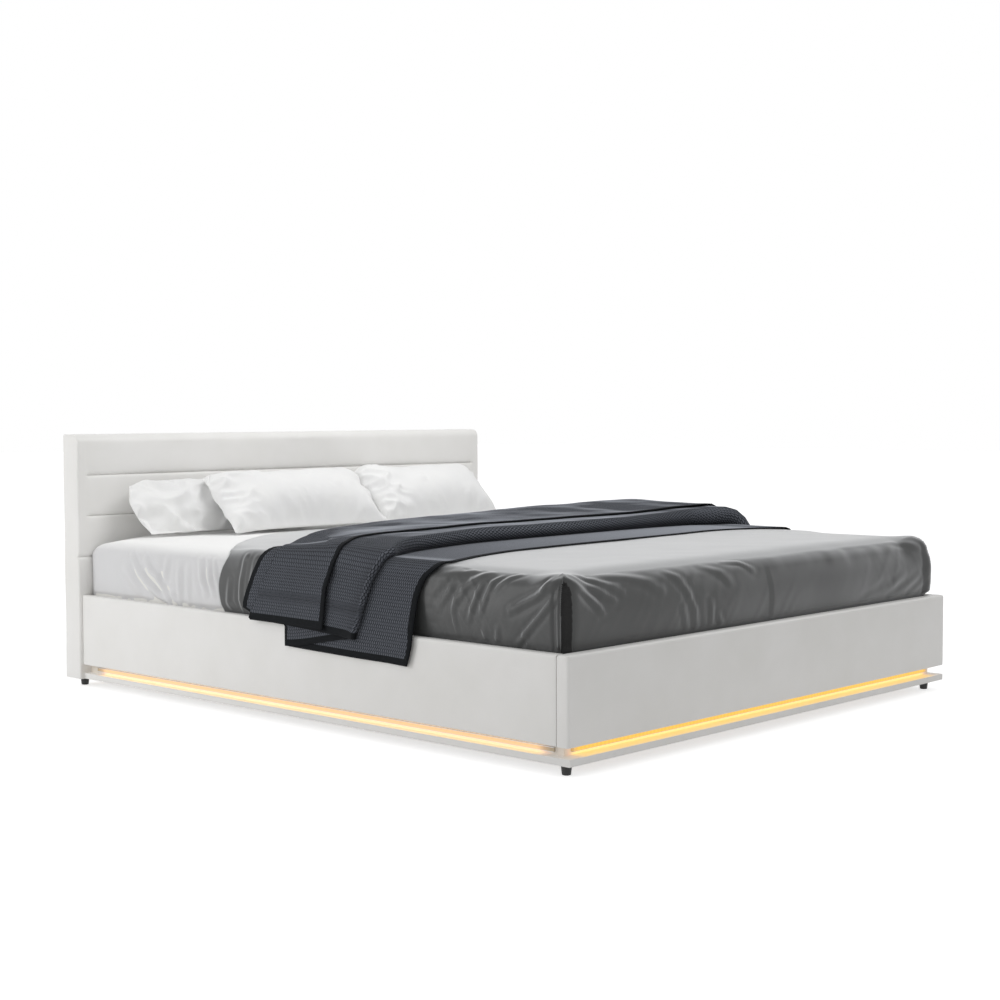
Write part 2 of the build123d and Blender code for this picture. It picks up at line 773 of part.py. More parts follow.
def link_outline(points):
    """Plate as the hull of round ends: bars between them, joined."""
    shape = None
    for (y0, z0, r0), (y1, z1, r1) in points:
        length = ((y1 - y0) ** 2 + (z1 - z0) ** 2) ** 0.5
        ny = -(z1 - z0) / length
        nz = (y1 - y0) / length
        bar = prism_x(
            [
                (y0 + ny * r0, z0 + nz * r0),
                (y1 + ny * r1, z1 + nz * r1),
                (y1 - ny * r1, z1 - nz * r1),
                (y0 - ny * r0, z0 - nz * r0),
            ],
            -link_outer_x,
            -link_inner_x,
        )
        ends = rod_x(r0, -link_outer_x, -link_inner_x, y0, z0) + rod_x(r1, -link_outer_x, -link_inner_x, y1, z1)
        shape = bar + ends if shape is None else shape + bar + ends
    return shape


def link(pivot_y, with_spring):
    upper_y, upper_z = link_point(pivot_y, link_length, link_rest_angle)
    lower = (pivot_y, lower_pivot_height, link_half_width)
    upper = (upper_y, upper_z, link_half_width)
    bars = [(lower, upper)]
    if with_spring:
        stud_y, stud_z = link_point(pivot_y, spring_arm, link_rest_angle + spring_arm_angle)
        lug = (stud_y, stud_z, pin_head_radius)
        middle_y, middle_z = link_point(pivot_y, spring_arm, link_rest_angle)
        near_y, near_z = link_point(pivot_y, spring_arm / 2, link_rest_angle)
        far_y, far_z = link_point(pivot_y, spring_arm * 1.5, link_rest_angle)
        bars.append(((near_y, near_z, pin_head_radius), lug))
        bars.append(((middle_y, middle_z, pin_head_radius), lug))
        bars.append(((far_y, far_z, pin_head_radius), lug))
    plate = link_outline(bars)
    for y, z in ((pivot_y, lower_pivot_height), (upper_y, upper_z)):
        plate = plate - rod_x(pin_radius + pin_clearance, -link_outer_x - overrun, -link_inner_x + overrun, y, z)
    if with_spring:
        plate = plate + rod_x(spring_stud_radius, -link_outer_x, -stud_end_x, stud_y, stud_z)
    return plate


save("rear_links", both_sides([link(rear_pivot_y, True)]))
save("front_links", both_sides([link(front_pivot_y, False)]))


# Gas springs, drawn along their line at rest
def spring_frame():
    stud_y, stud_z = link_point(rear_pivot_y, spring_arm, link_rest_angle + spring_arm_angle)
    run = stud_y - spring_base_y
    rise = stud_z - spring_base_z
    length = (run**2 + rise**2) ** 0.5
    return length, Plane(origin=(-spring_x, spring_base_y, spring_base_z), x_dir=(1, 0, 0), z_dir=(0, run, rise))


def spring_parts():
    """Local z runs from the lower stud to the upper one, and local x is the studs' direction."""
    length, place = spring_frame()
    low = (Align.CENTER, Align.CENTER, Align.MIN)
    eye_radius = spring_stud_radius + pin_clearance + spring_eye_wall
    lower_eye = Rot(0, 90, 0) * Cylinder(eye_radius, spring_eye_thickness)
    tube_start = eye_radius - spring_wall
    tube = Pos(0, 0, tube_start) * Cylinder(spring_radius, spring_body_length, align=low)
    hole_start = tube_start + spring_eye_wall
    hole = Pos(0, 0, hole_start) * Cylinder(spring_rod_radius + spring_rod_clearance, spring_body_length, align=low)
    cylinder = lower_eye + tube - hole
    cylinder = cylinder - Rot(0, 90, 0) * Cylinder(spring_stud_radius + pin_clearance, spring_eye_thickness + overrun * 4)
    upper_hole = spring_stud_radius + spring_open_pivot
    upper_radius = upper_hole + spring_eye_wall
    rod_start = hole_start + spring_wall
    rod_end = length - upper_hole - spring_wall
    upper_eye = Pos(0, 0, length) * Rot(0, 90, 0) * Cylinder(upper_radius, spring_eye_thickness)
    rod = Pos(0, 0, rod_start) * Cylinder(spring_rod_radius, rod_end - rod_start, align=low)
    rod = rod + upper_eye
    rod = rod - Pos(0, 0, length) * Rot(0, 90, 0) * Cylinder(upper_hole, spring_eye_thickness + overrun * 2)
    return place * cylinder, place * rod


gas_cylinder, gas_rod = spring_parts()
save("gas_cylinders", both_sides([gas_cylinder]))
save("gas_rods", both_sides([gas_rod]))

# Platform: tubes, slats, holders and pivot brackets
tube_middle = (platform_base + tube_top) / 2


def tube_y(x0, x1, y0, y1):
    outer = block(x0, x1, y0, y1, platform_base, tube_top)
    return outer - block(
        x0 + tube_wall, x1 - tube_wall, y0 - overrun, y1 + overrun, platform_base + tube_wall, tube_top - tube_wall
    )


def tube_x(x0, x1, y0, y1):
    outer = block(x0, x1, y0, y1, platform_base, tube_top)
    return outer - block(
        x0 - overrun, x1 + overrun, y0 + tube_wall, y1 - tube_wall, platform_base + tube_wall, tube_top - tube_wall
    )


side_tube = tube_y(-side_tube_x, -side_tube_inner_x, platform_foot_y, platform_head_y)
save("platform_side_tubes", both_sides([side_tube]))
cross_step = (platform_head_y - platform_foot_y - cross_tube_width) / (cross_tube_count - 1)
cross_tubes = []
centre_tubes = []
for index in range(cross_tube_count):
    y0 = platform_foot_y + index * cross_step
    y1 = y0 + cross_tube_width
    cross_tubes.append(tube_x(-side_tube_inner_x, side_tube_inner_x, y0, y1))
    if index < cross_tube_count - 1:
        centre_tubes.append(tube_y(-cross_tube_width / 2, cross_tube_width / 2, y1, y0 + cross_step))
save("platform_cross_tubes", cross_tubes)
save("platform_centre_tubes", centre_tubes)

slat_step = (platform_head_y - platform_foot_y - slat_width - slat_holder_wall * 2 - slat_play * 2) / (slat_count - 1)
slats = []
holders = []
holder_x0 = side_tube_x
holder_x1 = side_tube_x - slat_holder_length
slat_end_x = side_tube_x - slat_holder_wall
for index in range(slat_count):
    y0 = platform_foot_y + slat_holder_wall + slat_play + index * slat_step
    y1 = y0 + slat_width
    slats.append(block(-slat_end_x, slat_end_x, y0, y1, slat_base, slat_top))
    holder = block(-holder_x0, -holder_x1, y0 - slat_play - slat_holder_wall, y1 + slat_play + slat_holder_wall, tube_top, slat_top)
    pocket = block(-slat_end_x, -holder_x1 + overrun, y0 - slat_play, y1 + slat_play, slat_base, slat_top + overrun)
    holders.append(holder - pocket)
save("slats", slats)
save("slat_holders", both_sides(holders))


def upper_hardware():
    """Angle brackets under the left side tube and the pins that carry them on the links."""
    brackets = []
    upper_pins = []
    for pivot_y in (rear_pivot_y, front_pivot_y):
        y, z = link_point(pivot_y, link_length, link_rest_angle)
        y0 = y - pivot_bracket_half_length
        y1 = y + pivot_bracket_half_length
        leg = block(-bracket_outer_x, -bracket_inner_x, y0, y1, bracket_base, platform_base)
        shelf = block(-bracket_outer_x, -side_tube_inner_x, y0, y1, platform_base - plate_thickness, platform_base)
        bracket = leg + shelf - rod_x(pin_radius, -bracket_outer_x - overrun, -bracket_inner_x + overrun, y, z)
        brackets.append(bracket)
        head_x = -link_outer_x - pin_play
        pin = rod_x(pin_radius, -bracket_inner_x, head_x, y, z)
        head = rod_x(pin_head_radius, head_x - base_plate_gap / 2, head_x, y, z)
        collar = rod_x(pin_head_radius, -bracket_outer_x, -link_inner_x + pin_play, y, z)
        upper_pins.append(pin + head + collar)
    return brackets, upper_pins


brackets, upper_pins = upper_hardware()
save("pivot_brackets", both_sides(brackets))
save("upper_pivot_pins", both_sides(upper_pins))

# Mattress and bedding
mattress_top = mattress_base + mattress_edge_height
mattress = crowned_block(mattress_x, mattress_foot_y, mattress_head_y, mattress_base, mattress_top, 0)
save("mattress", mattress)

sheet_foot_y = mattress_foot_y - sheet_thickness - soft_gap
sheet_head_y = mattress_head_y + sheet_head_bulge
sheet_top = mattress_top + sheet_thickness + soft_gap
sheet_base = mattress_base + sheet_skirt
sheet_outer = crowned_block(sheet_x, sheet_foot_y, sheet_head_y, sheet_base, sheet_top, sheet_thickness + soft_gap)
sheet_core = crowned_block(
    mattress_x + soft_gap,
    mattress_foot_y - soft_gap,
    mattress_head_y + soft_gap,
    sheet_base - overrun,
    mattress_top + soft_gap,
    soft_gap,
)
sheet = sheet_outer - sheet_core
save("fitted_sheet", sheet)

duvet_foot_y = sheet_foot_y - duvet_thickness - soft_gap
duvet_top = sheet_top + duvet_thickness + soft_gap
duvet_base = mattress_base + duvet_skirt
duvet_grow = sheet_thickness + duvet_thickness + soft_gap * 2


def plan_points(shares, half):
    return [(x * half, foot_y + y * frame_length) for x, y in shares]


def plan_prism(near_points, far_points, z0, z1, reach):
    """Prism over the region between two lines across the bed, run out sideways by reach."""
    first = [(near_points[0][0] - reach, near_points[0][1])] + near_points
    first = first + [(near_points[-1][0] + reach, near_points[-1][1])]
    second = [(far_points[0][0] - reach, far_points[0][1])] + far_points
    second = second + [(far_points[-1][0] + reach, far_points[-1][1])]
    return prism_z(first + second[::-1], z0, z1)


duvet_outer = crowned_block(duvet_x, duvet_foot_y, mattress_head_y, duvet_base, duvet_top, duvet_grow)
duvet_core = crowned_block(
    sheet_x + soft_gap,
    sheet_foot_y - soft_gap,
    sheet_head_y + overrun,
    duvet_base - overrun,
    sheet_top + soft_gap,
    sheet_thickness + soft_gap * 2,
)
duvet_edge = plan_points(duvet_head_shares, duvet_x)
duvet_front = [(-duvet_x, foot_y), (duvet_x, foot_y)]
duvet_cover_top = duvet_top + mattress_crown + overrun
duvet = (duvet_outer - duvet_core) & plan_prism(duvet_front, duvet_edge, duvet_base, duvet_cover_top, overrun)
save("duvet", duvet)

# Throw: layers over the duvet and two hanging sides outside the rails
throw_low = duvet_top - throw_drop_start


def bed_shell(inner, outer):
    """Shell over the duvet between two distances from it."""
    y1 = mattress_head_y + overrun
    core_y = duvet_foot_y - inner
    shell = crowned_block(duvet_x + outer, duvet_foot_y - outer, y1, throw_low, duvet_top + outer, duvet_grow + outer)
    core_base = throw_low - overrun
    core = crowned_block(duvet_x + inner, core_y, y1 + overrun, core_base, duvet_top + inner, duvet_grow + inner)
    return shell - core


def line_y(shares, x):
    """Place along the bed of a line across it, at x as a share of the duvet's half width."""
    for (x0, y0), (x1, y1) in zip(shares, shares[1:]):
        if x0 <= x <= x1:
            return foot_y + (y0 + (y1 - y0) * (x - x0) / (x1 - x0)) * frame_length
    return foot_y + (shares[0] if x < shares[0][0] else shares[-1])[1] * frame_length


def stack_section(x, roll, hem, head):
    """Section of the folded stack along the bed: a round roll, a step up to the top layer and its round end."""
    roll_y, hem_y, head_y = (line_y(shares, x) for shares in (throw_roll_shares, throw_hem_shares, throw_head_shares))
    roll_z, hem_z, head_z = (duvet_top + rise * throw_stack_height for rise in (roll, hem, head))
    base = throw_low - throw_layer
    points = [
        (roll_y, base),
        (roll_y, (duvet_top + roll_z) / 2 - throw_layer),
        (roll_y + throw_roll_round / 3, roll_z - throw_layer),
        (roll_y + throw_roll_round, roll_z),
        (hem_y, roll_z),
        (hem_y, hem_z),
        (head_y - throw_top_round, head_z),
        (head_y, head_z - throw_top_round),
        (head_y, base),
    ]
    return Wire(Polyline([Vector(x * duvet_x, y, z) for y, z in points], close=True).edges())


def throw_stack():
    """The folds that lie on the throw's lowest layer, rounded over the bed's sides."""
    folds = Solid.make_loft([stack_section(*row) for row in throw_stack_rises], ruled=True)
    side_x = duvet_x + soft_gap + throw_layer * len(near_drop_heights)
    in_x = side_x - throw_shoulder_in
    bend_x = side_x - throw_shoulder_in / 4
    near_z = duvet_top + throw_shoulder_near_rise
    far_z = duvet_top + throw_shoulder_far_rise
    section = [
        (-side_x, throw_low),
        (side_x, throw_low),
        ((bend_x, (throw_low + far_z * 2) / 3), (in_x, far_z)),
        (0, far_z + throw_layer),
        (-in_x, near_z),
        ((-bend_x, (throw_low + near_z * 2) / 3), (-side_x, throw_low)),
    ]
    return folds & prism_y(section, foot_y, back_y)


lowest_layer = bed_shell(soft_gap, soft_gap + throw_layer)
lowest_layer_top = duvet_top + mattress_crown + throw_layer + overrun
lowest_layer = lowest_layer & plan_prism(
    plan_points(throw_foot_shares, duvet_x), plan_points(throw_head_shares, duvet_x), throw_low, lowest_layer_top, overrun
)
bed_form = crowned_block(
    duvet_x + soft_gap,
    duvet_foot_y - soft_gap,
    mattress_head_y + overrun,
    throw_low - throw_layer * 2,
    duvet_top + soft_gap,
    duvet_grow + soft_gap,
)
throw_top = lowest_layer + (throw_stack() - bed_form)

rail_corner_run = half_width + throw_rail_gap - throw_x
drop_slope = rail_corner_run / (throw_low - rail_top)


def wave_line(y0, y1, x):
    """Points of a gently waved line at x, as arcs, from y0 to y1."""
    step = (y1 - y0) / throw_wave_count
    steps = []
    for index in range(throw_wave_count):
        bulge = throw_wave if index % 2 == 0 else -throw_wave_in
        start = y0 + index * step
        steps.append(((x - bulge, start + step / 2), (x, start + step)))
    return steps


def drop_layer(index, foot_share, head_share, low):
    """One hanging layer on the left: a waved strip that leans out past the rail's top corner."""
    y0 = foot_y + foot_share * frame_length
    y1 = foot_y + head_share * frame_length
    inner = -throw_x - index * throw_layer
    outer = inner - throw_layer
    height = throw_low - low
    outline = [(inner, y0)] + [(outer, y0)] + wave_line(y0, y1, outer) + [(inner, y1)]
    lean = (-drop_slope, 0, -1)
    length = height * (1 + drop_slope**2) ** 0.5
    return prism(outline, lambda x, y: Vector(x, y, throw_low), lean, length)


def drop(foot_shares, head_shares):
    hanging = None
    for index, low in enumerate(near_drop_heights):
        layer = drop_layer(index, foot_shares[index], head_shares[index], low)
        hanging = layer if hanging is None else hanging + layer
    return hanging


near_drop = drop(near_drop_foot_share, near_drop_head_share)
far_drop = mirrored(drop(far_drop_foot_share, far_drop_head_share))
save("throw", [throw_top, near_drop, far_drop])


# Pillows
def sheet_height(y):
    """Top of the crowned sheet over its middle line."""
    half = (sheet_head_y - sheet_foot_y) / 2 - mattress_edge_radius
    middle = (sheet_head_y + sheet_foot_y) / 2
    return sheet_top + mattress_crown * (1 - ((y - middle) / half) ** 2)


def pillow_profile(half, height):
    shoulder = half * pillow_shoulder_share
    rise = height * pillow_shoulder_rise_share
    edge = pillow_edge / 2
    middle = (half + shoulder) / 2
    bulge = edge + (rise - edge) * pillow_bulge_share
    return [
        (-half, -edge),
        (-half, edge),
        ((-middle, bulge), (-shoulder, rise)),
        ((0, height), (shoulder, rise)),
        ((middle, bulge), (half, edge)),
        (half, -edge),
        ((middle, -bulge), (shoulder, -rise)),
        ((0, -height), (-shoulder, -rise)),
        ((-middle, -bulge), (-half, -edge)),
    ]


def pillow(height, x, setback, tilt):
    """A pillow with a crown, thin drawn-in edges and pointed corners, tilted back to lean."""
    a = pillow_width / 2
    b = height / 2
    c = pillow_thickness / 2
    across = prism_y(pillow_profile(a, c), -b - overrun, b + overrun)
    along = prism_x(pillow_profile(b, c), -a - overrun, a + overrun)
    plan = prism_z(
        [
            (-a, -b),
            ((0, -b + pillow_draw_in), (a, -b)),
            ((a - pillow_draw_in, 0), (a, b)),
            ((0, b - pillow_draw_in), (-a, b)),
            ((-a + pillow_draw_in, 0), (-a, -b)),
        ],
        -c,
        c,
    )
    body = across & along & plan
    lower_y = front_y - setback
    leaning = Rot(tilt, 0, 0) * body
    rest_z = sheet_height(lower_y) + soft_gap - leaning.bounding_box().min.Z
    return Pos(x, lower_y + b * cos(radians(tilt)), rest_z) * leaning


for side, share in zip(("left", "right"), front_pillow_x_share):
    save(f"pillow_front_{side}", pillow(front_pillow_height, share * half_width, front_pillow_setback, front_pillow_tilt))
for side, share in zip(("left", "right"), back_pillow_x_share):
    save(f"pillow_back_{side}", pillow(back_pillow_height, share * half_width, back_pillow_setback, back_pillow_tilt))
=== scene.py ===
import math

import bpy
import numpy as np
from mathutils import Euler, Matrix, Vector

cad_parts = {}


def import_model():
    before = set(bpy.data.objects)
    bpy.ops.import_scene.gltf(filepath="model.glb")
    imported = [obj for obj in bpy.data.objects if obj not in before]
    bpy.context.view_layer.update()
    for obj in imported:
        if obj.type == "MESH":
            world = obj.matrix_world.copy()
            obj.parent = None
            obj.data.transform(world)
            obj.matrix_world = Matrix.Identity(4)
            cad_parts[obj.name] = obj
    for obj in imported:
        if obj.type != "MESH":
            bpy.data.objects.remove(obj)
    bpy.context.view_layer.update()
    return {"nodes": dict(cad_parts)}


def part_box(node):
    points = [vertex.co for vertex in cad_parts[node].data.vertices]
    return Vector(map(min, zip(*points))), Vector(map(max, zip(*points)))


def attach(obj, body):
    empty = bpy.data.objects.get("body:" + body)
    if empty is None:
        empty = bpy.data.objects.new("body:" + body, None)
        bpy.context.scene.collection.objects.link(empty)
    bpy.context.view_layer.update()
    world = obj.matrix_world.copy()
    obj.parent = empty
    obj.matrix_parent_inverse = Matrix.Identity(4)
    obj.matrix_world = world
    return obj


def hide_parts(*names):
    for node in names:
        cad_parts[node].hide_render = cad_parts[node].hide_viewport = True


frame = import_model()
nodes = frame["nodes"]

# Sizes are in metres. Those of the solid parts come from the frame.

# Camera, as fitted to the photograph
camera_place = (-4.0762, -3.7809, 0.9021)
camera_yaw = 42.898  # degrees from +X towards +Y
camera_pitch = -2.965
camera_roll = 0.141
camera_lens = 61.416  # in millimetres, as the sensor
camera_sensor = 36.0

# Places read from the frame
side_low, side_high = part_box("headboard_right_side")
channel_low, channel_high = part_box("headboard_channel_1")
half_headboard = side_high.x
border_x = channel_high.x
front_y = channel_low.y
channel_y = channel_high.y
back_y = side_high.y
headboard_top = side_high.z
headboard_base = side_low.z
foot_cover_low, foot_cover_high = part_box("foot_rail_cover")
half_width = foot_cover_high.x
foot_y = foot_cover_low.y
inner_foot_y = foot_cover_high.y
rail_top = foot_cover_high.z
rail_base = foot_cover_low.z
inner_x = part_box("right_rail_cover")[0].x
sheet_low, sheet_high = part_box("fitted_sheet")
duvet_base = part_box("duvet")[0].z


# Numbers and noise
def smooth(value, low, high):
    """0 below low, 1 above high, and a smooth step between them."""
    t = np.clip((value - low) / (high - low), 0, 1)
    return t * t * (3 - 2 * t)


def lattice(ix, iy, seed):
    """A fixed pseudo-random number from -1 to 1 for each lattice point."""
    n = (ix.astype(np.int64) * 73856093) ^ (iy.astype(np.int64) * 19349663) ^ (seed * 83492791)
    n = ((n & 0xFFFFFFF) * 1274126177) & 0xFFFFFFFFFF
    n = (n ^ (n >> 17)) * 31 & 0xFFFFFFFF
    return (n % 20011) / 10005.0 - 1


def noise(x, y, seed=0):
    """Smooth noise from -1 to 1, with features about one unit wide."""
    ix, iy = np.floor(x), np.floor(y)
    fx, fy = x - ix, y - iy
    fx, fy = fx * fx * (3 - 2 * fx), fy * fy * (3 - 2 * fy)
    low = lattice(ix, iy, seed) * (1 - fx) + lattice(ix + 1, iy, seed) * fx
    high = lattice(ix, iy + 1, seed) * (1 - fx) + lattice(ix + 1, iy + 1, seed) * fx
    return low * (1 - fy) + high * fy


def layered_noise(x, y, seed=0, octaves=3):
    total, share = 0, 1.0
    for octave in range(octaves):
        total = total + noise(x * 2**octave, y * 2**octave, seed + octave) * share
        share = share / 2
    return total


def arch(share):
    """0 at 0 and at 1, with a rounded rise to 1 between them."""
    return np.sin(math.pi * np.clip(share, 0, 1))


def hump(value, width):
    """1 at 0, falling off smoothly on both sides."""
    return np.exp(-((value / width) ** 2))


def curve_through(points, x):
    """Smooth curve through (x, y) points, in x order, level beyond its ends. It turns only at the points."""
    xs = np.array([p[0] for p in points], float)
    ys = np.array([p[1] for p in points], float)
    rise = np.diff(ys) / np.diff(xs)
    same_way = rise[:-1] * rise[1:] > 0
    between = 2 * rise[:-1] * rise[1:] / np.where(same_way, rise[:-1] + rise[1:], 1)
    slope = np.concatenate([rise[:1], np.where(same_way, between, 0), rise[-1:]])
    x = np.clip(x, xs[0], xs[-1])
    i = np.clip(np.searchsorted(xs, x) - 1, 0, len(xs) - 2)
    step = xs[i + 1] - xs[i]
    t = (x - xs[i]) / step
    a = (1 + 2 * t) * (1 - t) ** 2 * ys[i] + t * (1 - t) ** 2 * step * slope[i]
    return a + t**2 * (3 - 2 * t) * ys[i + 1] + t**2 * (t - 1) * step * slope[i + 1]


def stations(*runs):
    """Numbers from runs of (start, end, spacing), joined into one rising list."""
    parts = []
    for start, end, spacing in runs:
        count = max(1, round((end - start) / spacing))
        parts.append(np.linspace(start, end, count, endpoint=False))
    return np.append(np.concatenate(parts), runs[-1][1])


# Meshes
def add_object(name, data):
    made = bpy.data.objects.new(name, data)
    bpy.context.scene.collection.objects.link(made)
    return made


def grid_faces(rows, columns, start=0, flip=False):
    i = np.arange(rows - 1)[:, None]
    j = np.arange(columns - 1)[None, :]
    corner = start + i * columns + j
    quads = np.stack([corner, corner + 1, corner + columns + 1, corner + columns], -1).reshape(-1, 4)
    return quads[:, ::-1] if flip else quads


def make_piece(name, points, faces, material, flat=None, sharp=None):
    """A mesh object. flat gives each vertex its place on the flat cloth, kept as a UV map in metres."""
    mesh = bpy.data.meshes.new(name)
    mesh.from_pydata(np.asarray(points, float).reshape(-1, 3).tolist(), [], [list(f) for f in faces])
    mesh.validate()
    mesh.shade_smooth()
    if sharp:
        mesh.set_sharp_from_angle(angle=math.radians(sharp))
    if flat is not None:
        layer = mesh.uv_layers.new(name="flat")
        index = np.zeros(len(mesh.loops), np.int32)
        mesh.loops.foreach_get("vertex_index", index)
        layer.data.foreach_set("uv", np.asarray(flat, np.float32).reshape(-1, 2)[index].ravel())
    mesh.materials.append(material)
    return add_object(name, mesh)


def grid_normals(grid):
    along = np.gradient(grid, axis=0)
    across = np.gradient(grid, axis=1)
    normal = np.cross(along, across)
    return normal / np.maximum(np.linalg.norm(normal, axis=2, keepdims=True), 1e-12)


def cloth(name, middle, thickness, material, flat):
    """A closed sheet of even thickness about a grid of points."""
    rows, columns = middle.shape[:2]
    count = rows * columns
    normal = grid_normals(middle)
    points = np.concatenate([middle + normal * thickness / 2, middle - normal * thickness / 2])
    faces = [grid_faces(rows, columns), grid_faces(rows, columns, count, True)]
    ring = np.concatenate(
        [
            np.arange(columns),
            np.arange(1, rows) * columns + columns - 1,
            (rows - 1) * columns + np.arange(columns - 2, -1, -1),
            np.arange(rows - 2, 0, -1) * columns,
        ]
    )
    following = np.roll(ring, -1)
    faces.append(np.stack([following, ring, ring + count, following + count], -1))
    return make_piece(name, points, np.concatenate(faces), material, np.concatenate([flat, flat]))


def paint(piece, chosen, edge=0):
    """Gives the chosen faces of a cloth's grid, on both of its sides, the piece's second material.

    edge is 1 where the cloth's cut edge takes it too.
    """
    index = chosen.astype(np.int32).ravel()
    rim = len(piece.data.polygons) - 2 * len(index)
    whole = np.concatenate([index, index, np.full(rim, edge, np.int32)])
    piece.data.polygons.foreach_set("material_index", whole)


def loft(name, rings, material, sharp=None):
    """A closed body through rings of points, with flat ends."""
    count, around = rings.shape[:2]
    faces = []
    for i in range(count - 1):
        for j in range(around):
            k = (j + 1) % around
            faces.append([i * around + j, i * around + k, (i + 1) * around + k, (i + 1) * around + j])
    faces.append(list(range(around))[::-1])
    faces.append([(count - 1) * around + j for j in range(around)])
    return make_piece(name, rings, faces, material, sharp=sharp)


def arc(centre_a, centre_b, radius, start, end, steps):
    """Points of an arc in a plane, with angles in degrees."""
    turn = np.radians(np.linspace(start, end, steps))
    return np.stack([centre_a + radius * np.cos(turn), centre_b + radius * np.sin(turn)], -1)


# Materials
class Nodes:
    """The nodes of a material or world. A value is a number, a colour or the output of another node."""

    def __init__(self, tree):
        self.tree = tree
        tree.nodes.clear()

    def node(self, kind, inputs=None, **settings):
        made = self.tree.nodes.new("ShaderNode" + kind)
        for key, value in settings.items():
            setattr(made, key, value)
        self.feed(made, inputs or {})
        return made

    def feed(self, made, inputs):
        for entry, value in inputs.items():
            if isinstance(value, bpy.types.NodeSocket):
                self.tree.links.new(value, made.inputs[entry])
            else:
                made.inputs[entry].default_value = value

    def calc(self, operation, *values):
        return self.node("Math", dict(enumerate(values)), operation=operation).outputs[0]

    def remap(self, value, low, high, start=0.0, end=1.0):
        """A value between start and end, carried over to low and high."""
        inputs = {"Value": value, "From Min": start, "From Max": end, "To Min": low, "To Max": high}
        return self.node("MapRange", inputs).outputs["Result"]

    def mix(self, share, first, second, blend="MIX"):
        """Two colours mixed. The entries are those of the Mix node for colours."""
        inputs = {0: share, 6: first, 7: second}
        return self.node("Mix", inputs, data_type="RGBA", blend_type=blend).outputs[2]

    def in_sight(self):
        """1 for what the camera sees, also in a reflection or through glass, and 0 for light."""
        path = self.node("LightPath").outputs
        seen = self.calc("MAXIMUM", path["Is Camera Ray"], path["Is Glossy Ray"])
        return self.calc("MAXIMUM", seen, path["Is Transmission Ray"])


class Finish(Nodes):
    """A node material with a Principled shader. A pattern is the output of a texture node."""

    def __init__(self, name, roughness, inputs=None):
        self.material = bpy.data.materials.new(name)
        self.material.use_nodes = True
        super().__init__(self.material.node_tree)
        self.shader = self.node("BsdfPrincipled", {"Roughness": roughness, **(inputs or {})})
        self.output = self.node("OutputMaterial", {"Surface": self.shader.outputs["BSDF"]})
        self.place = self.node("TexCoord").outputs
        self.bump = None

    def parts(self, source="Object"):
        """X, Y and Z of the place on the object, or X and Y on flat cloth with "UV"."""
        return self.node("SeparateXYZ", {"Vector": self.place[source]}).outputs

    def space(self, scale):
        """The place on the object in metres, scaled."""
        return self.node("Mapping", {"Vector": self.place["Object"], "Scale": scale}).outputs[0]

    def noise(self, scale, detail=2.0, spread=(1, 1, 1), distortion=0.0):
        inputs = {"Vector": self.space(spread), "Scale": scale, "Detail": detail, "Distortion": distortion}
        return self.node("TexNoise", inputs).outputs["Fac"]

    def cells(self, scale, feature="F1"):
        inputs = {"Vector": self.place["Object"], "Scale": scale}
        return self.node("TexVoronoi", inputs, feature=feature).outputs["Distance"]

    def tint(self, pattern, low, high, start=0.3, end=0.7):
        """Base colour from a pattern, between two colours."""
        ramp = self.node("ValToRGB", {"Fac": pattern})
        for stop, place, tone in zip(ramp.color_ramp.elements, (start, end), (low, high)):
            stop.position = place
            stop.color = (*tone, 1)
        self.feed(self.shader, {"Base Color": ramp.outputs["Color"]})

    def paint_facing_light(self, tone, start, end, most=1.0):
        """Paints light into the base colour: turns it to a tone as the surface is seen at a lower and lower
        angle, a painted sheen with a pale tone and painted shade with a dark one.
        """
        facing = self.node("LayerWeight", {"Blend": 0.5}).outputs["Facing"]
        base = self.shader.inputs["Base Color"].links[0].from_socket
        mixed = self.mix(self.remap(facing, 0, most, start, end), base, (*tone, 1))
        self.feed(self.shader, {"Base Color": mixed})

    def relief(self, pattern, depth, strength=1.0):
        """Bump from a pattern. Depth is in metres, and reliefs add up."""
        inputs = {"Height": pattern, "Strength": strength, "Distance": depth}
        if self.bump:
            inputs["Normal"] = self.bump
        self.bump = self.node("Bump", inputs).outputs["Normal"]
        self.feed(self.shader, {"Normal": self.bump})

    def gloss(self, pattern, low, high):
        """Roughness that varies between two values."""
        self.feed(self.shader, {"Roughness": self.remap(pattern, low, high)})

    def emit(self, tone, strength):
        self.feed(self.shader, {"Emission Color": tone, "Emission Strength": strength})


def shade(level):
    """Linear value of an sRGB level from 0 to 255."""
    share = level / 255
    return share / 12.92 if share <= 0.04045 else ((share + 0.055) / 1.055) ** 2.4


def colour(red, green, blue):
    return (shade(red), shade(green), shade(blue))


# The strip's light, on its diffuser and painted as emission onto the boards and ledges beside it
side_glow = colour(255, 207, 154)
foot_glow = colour(255, 214, 124)
foot_low_glow = colour(255, 200, 66)
ledge_glow = colour(255, 206, 110)
glow_end = (0.46, 0.29, 0.20)  # the dim warm tone of the strip's very ends
glow_past_end = (0.20, 0.18, 0.16)
light_fade = 0.045
recess_tone = colour(206, 200, 190)
glow_foot_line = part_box("foot_recess_board")[1].y  # the foot's strip lies beyond this line
ledge_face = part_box("foot_ledge")[1].z - 0.0004
strip_low, strip_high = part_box("led_diffusers")
side_run = ("Y", glow_foot_line + 0.016, strip_high.y)
foot_run = ("X", strip_low.x + 0.006, strip_high.x - 0.006)


def leather_finish(name):
    finish = Finish(name, 0.42, {"Specular IOR Level": 0.4})
    finish.tint(finish.noise(6, 3), colour(234, 233, 230), colour(239, 238, 236))
    finish.relief(finish.cells(620), 0.00025, 0.5)
    finish.relief(finish.cells(240, "DISTANCE_TO_EDGE"), 0.0003, 0.35)
    finish.relief(finish.noise(14, 3), 0.0012, 0.25)
    finish.gloss(finish.noise(90, 2), 0.36, 0.5)
    return finish


